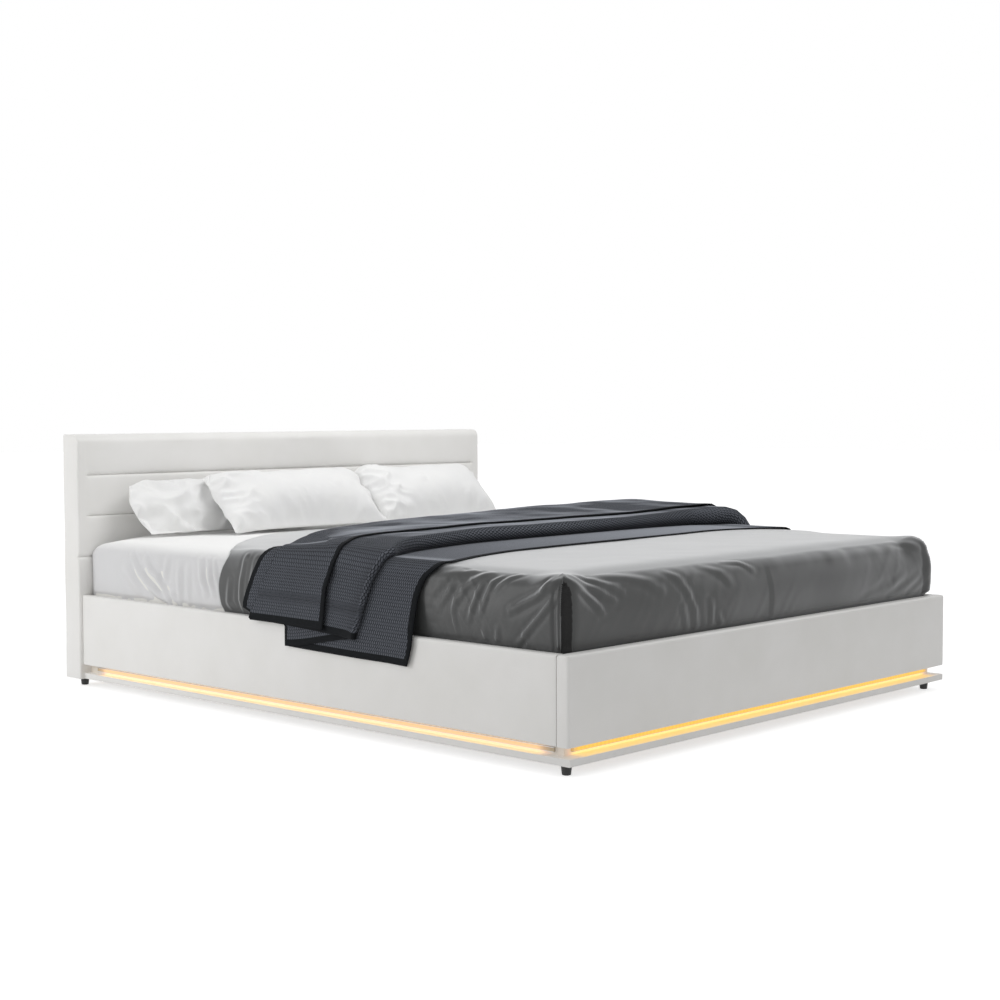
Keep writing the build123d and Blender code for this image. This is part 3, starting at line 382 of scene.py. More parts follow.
def wood_finish(name, dark, light, grain=60, roughness=0.55):
    """Wood whose grain runs along X."""
    finish = Finish(name, roughness)
    spread = (grain / 18, grain, grain)
    rings = finish.noise(1, 6, spread, 0.6)
    finish.tint(rings, dark, light, 0.35, 0.62)
    finish.relief(rings, 0.0004, 0.4)
    finish.relief(finish.noise(4, 4, tuple(s * 3 for s in spread)), 0.0002, 0.3)
    finish.gloss(rings, roughness - 0.08, roughness + 0.1)
    return finish.material


def metal_finish(name, tone, roughness, metallic=1.0, streak=(1, 1, 1)):
    finish = Finish(name, roughness, {"Metallic": metallic})
    brushing = finish.noise(300, 3, streak)
    finish.gloss(brushing, roughness * 0.75, roughness * 1.3)
    finish.relief(brushing, 0.00008, 0.4)
    finish.tint(finish.noise(12, 3), tuple(c * 0.9 for c in tone), tone)
    return finish.material


def plastic_finish():
    finish = Finish("black_plastic", 0.38)
    speck = finish.noise(1200, 2)
    finish.tint(finish.noise(30, 2), colour(22, 22, 23), colour(30, 30, 31))
    finish.relief(speck, 0.00012, 0.5)
    finish.gloss(speck, 0.32, 0.46)
    return finish.material


def strip_tone(finish, tone, axis, start, end):
    """Colour of the strip's light along an axis, which fades to a dim grey at both ends of its run."""
    fade = finish.node("ValToRGB", {"Fac": finish.remap(finish.parts()[axis], 0, 1, start, end)})
    stops = fade.color_ramp.elements
    for stop in stops:
        stop.color = (*glow_past_end, 1)
    for share, level in ((0.5, glow_end), (1, tone)):
        aside = share * light_fade / (end - start)
        for place in (aside, 1 - aside):
            stops.new(place).color = (*level, 1)
    return fade.outputs["Color"]


def recess_painted_light_finish(name, tone, strength, run):
    """The white board behind the strip, with the strip's light along its run painted on as emission."""
    finish = Finish(name, 0.45)
    finish.tint(finish.noise(700, 2), tuple(c * 0.96 for c in recess_tone), recess_tone)
    finish.emit(strip_tone(finish, tone, *run), strength)
    return finish.material


def ledge_painted_light_finish(name, tone, run):
    """White leather with the strip's light painted onto its top face as emission."""
    finish = leather_finish(name)
    top = finish.calc("GREATER_THAN", finish.parts()["Z"], ledge_face)
    finish.emit(strip_tone(finish, tone, *run), finish.calc("MULTIPLY", top, 0.42))
    return finish.material


def glow_finish():
    """The lit diffuser: pale along the sides and yellow at the foot, brighter in front of each diode."""
    finish = Finish("led_glow", 0.4, {"Base Color": (*colour(150, 130, 90), 1)})
    at_foot = finish.calc("LESS_THAN", finish.parts()["Y"], glow_foot_line)
    side_tone = strip_tone(finish, side_glow, *side_run)
    foot_tone = strip_tone(finish, foot_low_glow, *foot_run)
    diodes = finish.node("TexWave", {"Vector": finish.space((1, 1, 0)), "Scale": 20.0}).outputs["Fac"]
    dots = finish.remap(diodes, 0.86, 1.0)
    finish.emit(finish.mix(1, finish.mix(at_foot, side_tone, foot_tone), dots, "MULTIPLY"), 0.84)
    return finish.material


def cotton_finish(name, side_tone=None):
    """White cotton. A fitted sheet gets painted shade: its sides are painted greyer than its top, the more so
    the lower they are.
    """
    finish = Finish(name, 0.85, {"Sheen Weight": 0.15, "Sheen Roughness": 0.5})
    patch = finish.noise(9, 3)
    if side_tone:
        height = finish.remap(finish.parts()["Z"], 0, 1, edge_z, form_top)
        shaded = finish.calc("ADD", height, finish.calc("MULTIPLY", patch, 0.1))
        finish.tint(shaded, side_tone, colour(247, 247, 246), 0.1, 1.0)
    else:
        finish.tint(patch, colour(237, 237, 237), colour(242, 242, 241))
    finish.relief(finish.noise(1, 3, (900, 260, 600)), 0.00025, 0.5)
    finish.relief(finish.noise(45, 4), 0.0012, 0.22)
    return finish.material


satin_threads = (700, 180, 420)


def satin_finish():
    """Dark grey satin with a painted sheen: its base colour turns pale where it is seen at a low angle."""
    sheen = {"Specular IOR Level": 0.5, "Sheen Weight": 1.0, "Sheen Roughness": 0.3}
    finish = Finish("grey_satin", 0.46, sheen)
    slub = finish.noise(1, 3, satin_threads)
    finish.tint(finish.noise(7, 3), colour(57, 58, 58), colour(65, 66, 66))
    finish.paint_facing_light(colour(178, 180, 182), 0.40, 1.0)
    finish.relief(slub, 0.00015, 0.4)
    finish.relief(finish.noise(38, 4), 0.0010, 0.15)
    finish.gloss(slub, 0.42, 0.52)
    return finish.material


def matt_finish(name, dark, light, threads, depth, strength, roughness, specular=0.5, detail=3):
    """A plain matt weave. threads says how fine it is along X, Y and Z."""
    finish = Finish(name, roughness, {"Specular IOR Level": specular})
    weave = finish.noise(1, detail, threads)
    finish.tint(weave, dark, light)
    finish.relief(weave, depth, strength)
    return finish.material


# The throw's knit, in metres on the flat cloth
stitch_pitch = 0.0080
row_pitch = 0.0090


def knit_finish():
    """Rows of stitches across the flat cloth, each row half a stitch on from the last."""
    wool = {"Sheen Weight": 0.15, "Sheen Roughness": 0.3, "Sheen Tint": (0.88, 0.92, 1.0, 1)}
    finish = Finish("slate_knit", 0.95, {**wool, "Specular IOR Level": 0.05})
    calc = finish.calc
    parts = finish.parts("UV")
    row = calc("DIVIDE", parts["X"], row_pitch)
    shift = calc("MULTIPLY", calc("FLOOR", row), 0.5)
    stitch = calc("ADD", calc("DIVIDE", parts["Y"], stitch_pitch), shift)
    row_arch, stitch_arch = (
        calc("SINE", calc("MULTIPLY", calc("FRACT", place), math.pi)) for place in (row, stitch)
    )
    loop = calc("MULTIPLY", calc("POWER", row_arch, 0.18), calc("POWER", stitch_arch, 0.7))
    uneven = calc("MULTIPLY", finish.noise(260, 2), 0.35)
    finish.tint(calc("ADD", loop, uneven), colour(20, 22, 25), colour(98, 101, 108), 0.4, 1.2)
    # Painted shade: the base colour darkens where the knit is seen at a middling angle, as on the roll.
    # Painted sheen: it turns pale where seen at a low angle.
    finish.paint_facing_light(colour(20, 21, 24), 0.36, 0.62, 0.45)
    finish.paint_facing_light(colour(168, 172, 180), 0.885, 0.975)
    finish.relief(calc("MULTIPLY", row_arch, stitch_arch), 0.0018, 0.7)
    finish.relief(finish.noise(700, 3), 0.0006, 0.6)
    return finish.material


def ticking_finish():
    finish = Finish("ticking", 0.85)
    stripe = finish.node("TexWave", {"Vector": finish.place["Object"], "Scale": 9.0}).outputs["Fac"]
    finish.tint(stripe, colour(214, 214, 212), colour(234, 233, 229), 0.05, 0.35)
    finish.relief(finish.cells(16), 0.006, 0.5)
    finish.relief(finish.noise(700, 2), 0.0003, 0.5)
    return finish.material


leather = leather_finish("white_leather").material
glow = glow_finish()
plastic = plastic_finish()
ticking = ticking_finish()
cotton = cotton_finish("white_cotton")
satin = satin_finish()
knit = knit_finish()
# Painted shade: a darker satin inside the near corner's open pocket
satin_pocket_shade = matt_finish(
    "satin_pocket_shade", colour(48, 48, 48), colour(60, 60, 60), satin_threads, 0.0002, 0.4, 0.9, 0.1
)
binding = matt_finish(
    "throw_binding", colour(15, 17, 19), colour(26, 28, 31), (500, 90, 500), 0.0006, 0.6, 0.85, 0.12
)
dust_cloth = matt_finish(
    "dust_cloth", colour(36, 36, 37), colour(54, 54, 55), (900, 900, 900), 0.0004, 0.6, 0.95, detail=2
)

finish_of_nodes = [
    # Painted light: the strip's glow is emission on the ledges' tops and on the recess boards
    (ledge_painted_light_finish("ledge_side", ledge_glow, side_run), "left_ledge right_ledge"),
    (ledge_painted_light_finish("ledge_foot", foot_low_glow, foot_run), "foot_ledge"),
    (recess_painted_light_finish("recess_painted_light_side", side_glow, 0.80, side_run), "left_recess_board right_recess_board"),
    (recess_painted_light_finish("recess_painted_light_foot", foot_glow, 0.85, foot_run), "foot_recess_board"),
    (
        wood_finish("plywood", colour(196, 164, 118), colour(222, 196, 154)),
        "floor_boards headboard_panel left_rail_board right_rail_board foot_rail_board",
    ),
    (
        wood_finish("timber", colour(176, 140, 94), colour(212, 180, 134)),
        "cross_battens headboard_posts headboard_bottom_rail headboard_middle_rail headboard_top_rail",
    ),
    (wood_finish("slat_wood", colour(206, 172, 122), colour(232, 206, 164), 46, 0.42), "slats"),
    (metal_finish("profile_aluminium", (0.62, 0.62, 0.63), 0.38, 1.0, (1, 0.05, 1)), "led_profiles"),
    (glow, "led_diffusers led_tapes"),
    (plastic, "corner_feet centre_feet led_driver slat_holders"),
    (
        metal_finish("zinc_steel", (0.5, 0.5, 0.51), 0.34),
        "corner_brackets frame_bolts hardware_screws lower_pivot_pins upper_pivot_pins",
    ),
    (metal_finish("chrome_rod", (0.7, 0.7, 0.71), 0.1), "gas_rods"),
    (
        metal_finish("black_steel", colour(38, 38, 39), 0.42, 0.3),
        "lift_base_plates platform_rests rear_links front_links gas_cylinders platform_side_tubes "
        "platform_cross_tubes platform_centre_tubes pivot_brackets",
    ),
]
for finish, names in finish_of_nodes:
    for name in names.split():
        nodes[name].data.materials.clear()
        nodes[name].data.materials.append(finish)


def settle(piece, body, slot, *replaced):
    """Rides on a body and stands for CAD nodes. Its slot is not used."""
    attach(piece, body)
    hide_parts(*replaced)


def upholster(name, rings, node, sharp=50):
    """A padded piece in leather through rings of points, which stands for a node of the frame."""
    piece = loft(name, np.array(rings), leather, sharp=sharp)
    settle(piece, "frame", "white_leather", node)


# Headboard upholstery
top_radius = 0.028
side_corner = 0.007
band_corner = 0.006
seam_pull = 0.0060  # narrow draw-in right at a seam
seam_puff = 0.0030  # wide draw-in beside it
pull_reach = 0.0030
puff_reach = 0.018
border_puff_reach = 0.012
seam_fade = 0.020  # length over which a seam fades out before the border
pucker_pitch, pucker_depth, pucker_reach = 0.011, 0.0005, 0.010
full_seam = 3  # this seam runs out to the headboard's edge
channel_end = 0.08  # length meshed more finely
plain_face = 0.066  # from the top channel's seam up, its face is plain
padding_wave = 0.0006
back_cloth_thickness = 0.001
back_cloth_slack, back_cloth_wave = 0.0015, 0.0006
seam_distances = [0, 0.001, 0.002, 0.0035, 0.0055, 0.008, 0.012, 0.018, 0.026, 0.038, 0.052]


def seam_depth(distance, x, number):
    """How far the leather draws in at a distance from seam number, counted from the top."""
    pull = seam_pull * np.exp(-distance / pull_reach) + seam_puff * np.exp(-distance / puff_reach)
    pucker = pucker_depth * np.sin(x * 2 * math.pi / pucker_pitch + 2 * noise(x * 30, x * 0, number))
    wander = 1 + 0.25 * noise(x * 9, x * 0, number + 20)
    edge = np.clip((border_x - np.abs(x)) / seam_fade, number == full_seam, 1)
    return (pull * wander + pucker * np.exp(-distance / pucker_reach)) * edge * edge * (3 - 2 * edge)


def channel_piece(number):
    low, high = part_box(f"headboard_channel_{number}")
    half = (high.z - low.z) / 2
    near = [d for d in seam_distances if d < half]
    ends = [(channel_y, high.z), (channel_y, low.z)]
    if number == 1:
        plain = np.linspace(low.z + plain_face, high.z - top_radius, 4)
        heights = [low.z + d for d in near] + list(plain)
        ends = list(arc(front_y + top_radius, high.z - top_radius, top_radius, 180, 90, 9)[1:]) + ends
    else:
        heights = [low.z + d for d in near] + [low.z + half] + [high.z - d for d in reversed(near)]
    turn = border_x - channel_end
    across = stations((-border_x, -turn, 0.004), (-turn, turn, 0.0055))
    across = np.concatenate([across, stations((turn, border_x, 0.004))[1:]])
    x, z = np.meshgrid(across, np.array(heights), indexing="ij")
    depth = seam_depth(z - low.z, x, number)
    if number > 1:
        depth = depth + seam_depth(high.z - z, x, number - 1)
    sag = 0.0009 * noise(x * 4, z * 9, number)
    front = np.stack([x, front_y + depth + sag * (depth > 0), z], -1)
    tail = np.array([[(station, y, height) for y, height in ends] for station in across])
    rings = np.concatenate([front, tail], 1)
    upholster(f"channel_{number}", rings, f"headboard_channel_{number}")


def headboard_side_piece(side):
    """Padded border that turns round the headboard's side. side is -1 for the left."""
    round_base = headboard_top - top_radius
    levels = list(np.linspace(headboard_base, round_base, 30))
    seam_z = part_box(f"headboard_channel_{full_seam}")[0].z
    levels += [seam_z + way * step for way in (-1, 1) for step in seam_distances[1:8]] + [seam_z]
    levels.sort()
    levels += [round_base + top_radius * math.sin(math.radians(a)) for a in range(8, 90, 8)]
    levels.append(headboard_top)
    rings = []
    for z in levels:
        front = front_y + round_off(z - round_base, top_radius)
        gap = abs(z - seam_z)
        front = front + seam_pull * math.exp(-gap / pull_reach)
        front = front + seam_puff * 0.5 * math.exp(-gap / border_puff_reach)
        out = half_headboard - round_off(z - (headboard_top - side_corner), side_corner)
        out = out - padding_wave + padding_wave * math.sin(z * 21)
        ring = [(border_x, back_y), (border_x, front)]
        ring += list(arc(out - side_corner, front + side_corner, side_corner, -90, 0, 8))
        ring += list(arc(out - side_corner / 2, back_y - side_corner / 2, side_corner / 2, 0, 90, 5))
        rings.append([(side * x, y, z) for x, y in ring[::side]])
    name = "right" if side > 0 else "left"
    upholster(f"headboard_{name}_border", rings, f"headboard_{name}_side")


def round_off(over, radius):
    """How far a rounded edge falls back at a distance past where its rounding begins."""
    return radius - math.sqrt(max(radius**2 - max(over, 0.0) ** 2, 0))


def top_band_piece():
    low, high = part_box("headboard_top_band")
    rings = []
    for x in stations((-border_x, border_x, 0.03)):
        lift = padding_wave * float(noise(np.array(x * 8), np.array(0.0), 5))
        ring = [(low.y, low.z), (low.y, high.z)]
        ring += [(y, high.z + lift) for y in np.linspace(low.y + 0.008, high.y - 0.014, 4)]
        ring += list(arc(high.y - band_corner, high.z - band_corner, band_corner, 90, 0, 6))
        ring += [(high.y, low.z)]
        rings.append([(x, y, z) for y, z in ring])
    upholster("headboard_top", rings, "headboard_top_band")


def back_cloth_piece():
    """Dust cloth stapled to the back round its edges, and slack inside them."""
    low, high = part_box("headboard_back_cloth")
    x, z = np.meshgrid(stations((low.x, high.x, 0.02)), stations((low.z, high.z, 0.015)), indexing="ij")
    edge = smooth(high.x - np.abs(x), 0, 0.05) * smooth(z - low.z, 0, 0.05) * smooth(high.z - z, 0, 0.05)
    slack = back_cloth_slack * edge * (1 + noise(x * 6, z * 6, 3))
    y = (low.y + high.y) / 2 - slack + back_cloth_wave * noise(x * 22, z * 9, 4)
    flat = np.stack([x, z], -1)
    piece = cloth("back_cloth", np.stack([x, y, z], -1)[::-1], back_cloth_thickness, dust_cloth, flat)
    settle(piece, "frame", "dust_cloth", "headboard_back_cloth")


# Rail covers: leather over thin padding, wrapped round the board
cover_radius = 0.008
cover_crown = 0.0010
cover_wave = 0.0003
crown_fade = 0.05
cover_foot = rail_base - 0.0006
head_round = 0.0024  # the covers' top corner rounds off where it meets the headboard
end_draw = 0.0023  # how far a side cover draws in at its ends
end_draw_reach = 0.0025
foot_cover_corner = 0.008


def cover_section(outer, inner, top, crown, radius):
    """Closed section (across, height) of a cover, from its outer face over the top to the inner one."""
    way = 1 if outer > inner else -1
    middle = (cover_foot + top) / 2
    points = [(outer - way * 0.002, cover_foot), (outer, cover_foot + 0.002)]
    for share in (0.15, 0.4, 0.65, 0.88):
        z = cover_foot + share * (top - radius - cover_foot)
        points.append((outer + way * crown * (1 - ((z - middle) / (top - middle)) ** 2), z))
    turn = arc(0, top - radius, radius, 0, 90, 7)
    points += [(outer - way * radius + way * a, z) for a, z in turn]
    points += [(inner + way * radius - way * a, z) for a, z in turn[::-1]]
    points.append((inner, cover_foot))
    return points


def cover_run(start, end, margin, ends):
    """Stations along a cover, close together at its ends."""
    middle = stations((start + margin, end - margin, 0.05))
    return [start + e for e in ends] + list(middle) + [end - e for e in reversed(ends)]


def side_cover_piece(side):
    rings = []
    for y in cover_run(inner_foot_y, front_y, 0.02, [0, 0.0008, 0.002, 0.0035, 0.0055, 0.008, 0.010]):
        end_gap = min(y - inner_foot_y, front_y - y)
        draw = end_draw * math.exp(-end_gap / end_draw_reach)
        fall = round_off(head_round - (front_y - y), head_round)
        wave = cover_wave * float(noise(np.array(y * 7), np.array(0.0), 8))
        crown = cover_crown * min(1.0, end_gap / crown_fade) + wave
        top = rail_top - draw * 0.3 - fall
        section = cover_section(half_width - draw, inner_x, top, crown, cover_radius - draw * 1.6)
        rings.append([(side * x, y, z) for x, z in section[:: -side]])
    name = "right" if side > 0 else "left"
    upholster(f"{name}_cover", rings, f"{name}_rail_cover", 40)


def foot_cover_piece():
    rings = []
    turn = [foot_cover_corner * (1 - math.cos(math.radians(a))) for a in range(0, 91, 15)]
    for x in cover_run(-half_width, half_width, 0.03, turn):
        end_gap = half_width - abs(x)
        inset = round_off(foot_cover_corner - end_gap, foot_cover_corner)
        crown = cover_crown * min(1.0, end_gap / crown_fade)
        inner = inner_foot_y - inset * 0.6
        top = rail_top - inset * 0.5
        section = cover_section(foot_y + inset, inner, top, crown, cover_radius - inset * 0.6)
        rings.append([(x, y, z) for y, z in section])
    upholster("foot_cover", rings, "foot_rail_cover", 40)


for number in range(1, 7):
    channel_piece(number)
for side in (-1, 1):
    headboard_side_piece(side)
    side_cover_piece(side)
top_band_piece()
back_cloth_piece()
foot_cover_piece()

# Bedding: everything wraps one rounded form, the sheeted mattress
form_x = sheet_high.x
form_y0 = sheet_low.y
form_y1 = sheet_high.y + 0.020  # the sheet's head end bulges against the headboard
form_crown = 0.010
form_top = sheet_high.z - form_crown
form_radius = 0.037
form_middle_y = (form_y0 + form_y1) / 2
flat_x = form_x - form_radius  # half width of the level top
flat_y = (form_y1 - form_y0) / 2 - form_radius
quarter = form_radius * math.pi / 2
edge_z = form_top - form_radius
# Seen from above, the corners are squarer the higher this power is: head, far foot and near foot
head_power, far_foot_power, near_foot_power = 9, 4, 2
foot_ease = 0.017  # the bed's foot edge is this much rounder than its sides
side_ease = 0.012  # the same at the sides, where the throw leaves them bare
ease_reach = 0.055
ease_fade = 0.10  # length over which both end before a corner
head_sag_depth, head_sag_reach = 0.020, 0.20
# The throw leaves the sides bare towards the foot and beside the pillows: places along from the middle
bare_foot = (0.58, 0.72)
bare_head_start, bare_head_end = (0.20, 0.34), (0.56, 0.72)
# Painted shade: the grey painted onto the fitted sheet's sides
white_sheet = cotton_finish("sheet_cotton", colour(219, 219, 220))


def crown_at(x, y):
    along = (y - form_middle_y) / flat_y
    return form_crown * (1 - np.clip(x / flat_x, -1, 1) ** 2) * (1 - np.clip(along, -1, 1) ** 2)


def head_sag(x, y):
    """How far the two head corners of the bed slope down."""
    reach = np.hypot(np.minimum(np.abs(x) - form_x, 0) * 0.75, np.minimum(y - form_y1, 0))
    return head_sag_depth * (1 - smooth(reach, 0.0, head_sag_reach)) ** 1.5


def wrap(p, q):
    """Place, outward direction, run down the side and turn round a corner, from 0 at a side to 1 at an end.

    p and q are distances over the cloth from its middle.
    """
    over_p = np.maximum(np.abs(p) - flat_x, 0)
    over_q = np.maximum(np.abs(q) - flat_y, 0)
    drop = np.maximum(over_p, over_q)
    safe = np.maximum(drop, 1e-9)
    share = np.where(over_p >= over_q, 0.5 * over_q / safe, 1 - 0.5 * over_p / safe)
    turn = share * math.pi / 2
    power = np.where(q > 0, head_power, np.where(p > 0, far_foot_power, near_foot_power))
    square = (np.cos(turn) ** power + np.sin(turn) ** power) ** (-1 / power)
    aim_x = np.cos(turn) * square * np.sign(p) * (drop > 0)
    aim_y = np.sin(turn) * square * np.sign(q) * (drop > 0)
    bend = np.minimum(drop / form_radius, math.pi / 2)
    down = np.maximum(drop - quarter, 0)
    out = form_radius * np.sin(bend)
    x = np.clip(p, -flat_x, flat_x) + aim_x * out
    y = form_middle_y + np.clip(q, -flat_y, flat_y) + aim_y * out
    z = edge_z + form_radius * np.cos(bend) - down + crown_at(x, y)
    z = z - head_sag(x, y) * np.clip(1 - down / 0.15, 0, 1)
    normal = np.stack([aim_x * np.sin(bend), aim_y * np.sin(bend), np.cos(bend)], -1)
    foot = foot_ease * hump(np.abs(q) - flat_y - quarter / 2, ease_reach)
    foot = foot * (q < 0) * smooth(flat_x - np.abs(p), 0, ease_fade)
    bare = smooth(-q, *bare_foot) + smooth(q, *bare_head_start) * (1 - smooth(q, *bare_head_end))
    side = side_ease * hump(np.abs(p) - flat_x - quarter / 2, ease_reach)
    side = side * bare * smooth(flat_y - np.abs(q), 0, ease_fade)
    place = np.stack([x, y, z], -1) - normal * (foot + side)[..., None]
    return place, normal, drop, share


def drop_at(height):
    """Distance over the rounded edge and down the side to a height."""
    rise = height - edge_z
    if rise > 0:
        return form_radius * math.acos(min(rise / form_radius, 1))
    return quarter - rise


def folds(along, drop, runs):
    """Height of pinched folds. Each run is (points, half width, height), with points (along, height)."""
    total = np.zeros_like(along)
    for points, width, height in runs:
        width, height = width / 1000, height / 1000
        places = [(a / 1000, drop_at(z / 1000)) for a, z in points]
        nearest = np.full_like(along, 1e9)
        aside = np.zeros_like(along)
        progress = np.zeros_like(along)
        for index, ((a0, d0), (a1, d1)) in enumerate(zip(places, places[1:])):
            length = math.hypot(a1 - a0, d1 - d0)
            way_a, way_d = (a1 - a0) / length, (d1 - d0) / length
            t = np.clip(((along - a0) * way_a + (drop - d0) * way_d) / length, 0, 1)
            off_a = along - a0 - t * length * way_a
            off_d = drop - d0 - t * length * way_d
            away = np.hypot(off_a, off_d)
            closer = away < nearest
            nearest = np.where(closer, away, nearest)
            aside = np.where(closer, np.sign(off_d * way_a - off_a * way_d) * away, aside)
            progress = np.where(closer, (index + t) / (len(places) - 1), progress)
        crest = hump(aside, width) - 0.55 * hump(np.abs(aside) - 2.1 * width, width)
        swell = np.sin(math.pi * np.clip(progress, 0.04, 0.96)) ** 0.6
        total = total + height * crest * (0.25 + 0.75 * swell)
    return total


# Fitted sheet
sheet_drop = edge_z - sheet_low.z
rail_drop = quarter + edge_z - rail_top  # over the rounded edge and down to the rail's top
sheet_fold_gain = 1.7
sheet_thickness = 0.0016
sheet_rest = 0.0002  # over the form
wide_ripple, fine_ripple = 0.0013, 0.0009
sheet_level = 0.0014  # unevenness of the top
rail_gap = 0.006  # the sheet draws in where it meets the near rail
corner_hollow = 0.020
# Folds, in millimetres: each has its points (place along the bed, height), then its half width and height
sheet_folds = [
    ([(775, 440), (737, 393), (679, 352), (627, 327), (585, 300)], 10, 6.2),
    ([(704, 440), (678, 403), (641, 386), (611, 347), (572, 300)], 9, 6.2),
    ([(812, 400), (744, 335)], 14, 3.4),
    ([(575, 340), (528, 300)], 8, 4.8),
    ([(593, 442), (605, 375)], 10, 3.8),
    ([(532, 436), (528, 310)], 10, 2.8),
    ([(486, 430), (483, 315)], 10, 2.8),
    ([(430, 452), (416, 392), (395, 350)], 9, 4.2),
    ([(392, 455), (377, 394), (356, 350)], 8, 4.2),
    ([(366, 455), (342, 390)], 7, 4),
]


def sheet_piece():
    reach = quarter + sheet_drop
    near, far = (-flat_x - reach, -flat_x, 0.006), (flat_x, flat_x + reach, 0.014)
    p = stations(near, (-flat_x, -0.2, 0.014), (-0.2, flat_x, 0.03), far)
    q = stations((-flat_y - reach, 0.2, 0.03), (0.2, flat_y, 0.006), (flat_y, flat_y + reach, 0.006))
    p, q = np.meshgrid(p, q, indexing="ij")
    place, normal, drop, share = wrap(p, q)
    y = place[..., 1]
    near_side = (p < -flat_x) & (share < 0.5)
    uncovered = smooth(y, 0.05, 0.20)
    side = smooth(drop, 0.0, 0.05)
    creased = sheet_fold_gain * folds(y, drop, sheet_folds) * near_side
    gap = rail_gap * near_side * smooth(drop, rail_drop - 0.014, rail_drop - 0.002)
    ripple = wide_ripple * noise(y * 13 + p * 3, drop * 6, 11) * side
    ripple = ripple + fine_ripple * noise(y * 41, drop * 9, 12) * side
    level = sheet_level * layered_noise(place[..., 0] * 5, y * 5, 14)
    lift = uncovered * (creased + ripple + level * (1 - side)) + sheet_rest - gap
    tucked = smooth(drop, reach - 0.06, reach - 0.03)
    lift = lift * (1 - tucked) + np.minimum(lift, 0.001) * tucked
    # The sheet's corners at the foot stay clear of the cover's open fold
    foot_corner = (share > 0.02) & (share < 0.98) & (q < 0)
    hollow = smooth(drop, 0.02, 0.05) * arch(share) ** 0.5
    lift = lift - corner_hollow * foot_corner * hollow
    middle = place + normal * lift[..., None]
    piece = cloth("sheet", middle, sheet_thickness, white_sheet, np.stack([p, q], -1))
    settle(piece, "platform", "white_cotton", "fitted_sheet")


sheet_piece()


# Grey cover
duvet_thickness = 0.0036
tuck_drop = edge_z - duvet_base
near_fold_gain = 0.5
cover_rest = 0.0048  # over the sheet
cover_belly = 0.0050  # more of it half way down the sides
small_wrinkle, fine_wrinkle = 0.0030, 0.0007
side_wave, shoulder_wave, level_wave = 0.0018, 0.0018, 0.0012
tucked_low, tucked_high = 0.0015, 0.0040
# The near corner at the foot: its standing edge, the valley beside it, the open pocket and the apex on top
edge_height, edge_width = 0.0045, 0.0024
valley_depth, valley_place = 0.0040, 0.012
pocket_depth = 0.0095
corner_rise = 0.009  # the cover's way round a corner is measured this far outside the form
edge_place, apex_shift = 0.025, 0.015  # the standing edge low down, and how much further on at the apex
apex_height, apex_drop = 0.0030, 0.012
# The far corner: how far it bulges low down and all over, and the crease beside it
low_bulge, whole_bulge, crease_height = 0.009, 0.002, 0.003
# Head edge: across as a share of the level top's half width, then its place along the bed
duvet_head_line = [
    (-1.36, 0.27), (-1.261, 0.289), (-1.211, 0.313), (-1.152, 0.32), (-1.091, 0.312), (-1.045, 0.297),
    (-0.99, 0.325), (-0.886, 0.399), (-0.674, 0.536), (-0.518, 0.605), (-0.3, 0.63), (0, 0.632), (1, 0.632),
]
# Folds on the near side, as for the sheet, and on the foot side, where the place is across the bed
near_folds = [
    ([(-892, 313), (-930, 352), (-972, 391), (-1034, 458)], 6.5, 8.5),
    ([(-870, 398), (-905, 415), (-956, 439), (-989, 464), (-1038, 486)], 8, 10.5),
    ([(-975, 456), (-1000, 484)], 5.5, 5),
    ([(-578, 396), (-610, 459), (-665, 488)], 8, 6),
    ([(-601, 425), (-647, 470), (-722, 493)], 8, 6.2),
    ([(-597, 362), (-646, 428), (-662, 460)], 8, 5.2),
    ([(-671, 395), (-705, 445), (-776, 494)], 9, 6.2),
    ([(-684, 322), (-668, 379), (-678, 420)], 6, 5.6),
    ([(-727, 362), (-740, 405), (-756, 452)], 6.5, 5.8),
    ([(-768, 385), (-794, 466), (-815, 484)], 7, 6.2),
    ([(-800, 436), (-847, 483), (-880, 494)], 7, 5),
    ([(-576, 404), (-575, 330)], 6, 4),
    ([(-618, 360), (-646, 312)], 6, 4.6),
    ([(-825, 350), (-825, 312)], 7, 5),
    ([(-780, 350), (-782, 315)], 8, 3.4),
    ([(-915, 345), (-935, 310)], 7, 3.8),
    ([(197, 475), (213, 405), (218, 345), (203, 308)], 6, 7),
    ([(266, 400), (276, 335), (250, 306)], 8, 5),
    ([(150, 470), (165, 400), (172, 320)], 8, 5),
]
foot_folds = [
    ([(-900, 489), (-884, 486), (-826, 457), (-780, 421), (-752, 392)], 8, 8.5),
    ([(-880, 491), (-865, 490), (-807, 471), (-748, 446), (-700, 420)], 9, 7.5),
    ([(-830, 494), (-807, 491), (-728, 467), (-667, 439)], 10, 6),
    ([(-748, 496), (-650, 485), (-563, 463), (-500, 430)], 12, 5),
    ([(-460, 482), (-420, 455), (-385, 410)], 10, 5),
    ([(-398, 423), (-366, 367), (-357, 315)], 8, 6),
    ([(-420, 380), (-400, 320)], 7, 4),
    ([(-294, 388), (-288, 325)], 7, 5.5),
    ([(-262, 350), (-240, 315)], 7, 4),
    ([(-190, 490), (-118, 486), (-68, 452)], 8, 5.5),
    ([(-300, 487), (-230, 462), (-190, 430)], 11, 4),
    ([(490, 318), (560, 332), (650, 360)], 10, 6.5),
    ([(560, 316), (640, 340), (740, 385)], 10, 5.5),
    ([(660, 318), (740, 338), (840, 375)], 10, 6.5),
    ([(780, 320), (850, 350), (880, 400)], 9, 5),
    ([(700, 495), (780, 485), (850, 462)], 10, 5.5),
    ([(780, 496), (850, 488), (885, 462)], 8, 5.5),
]


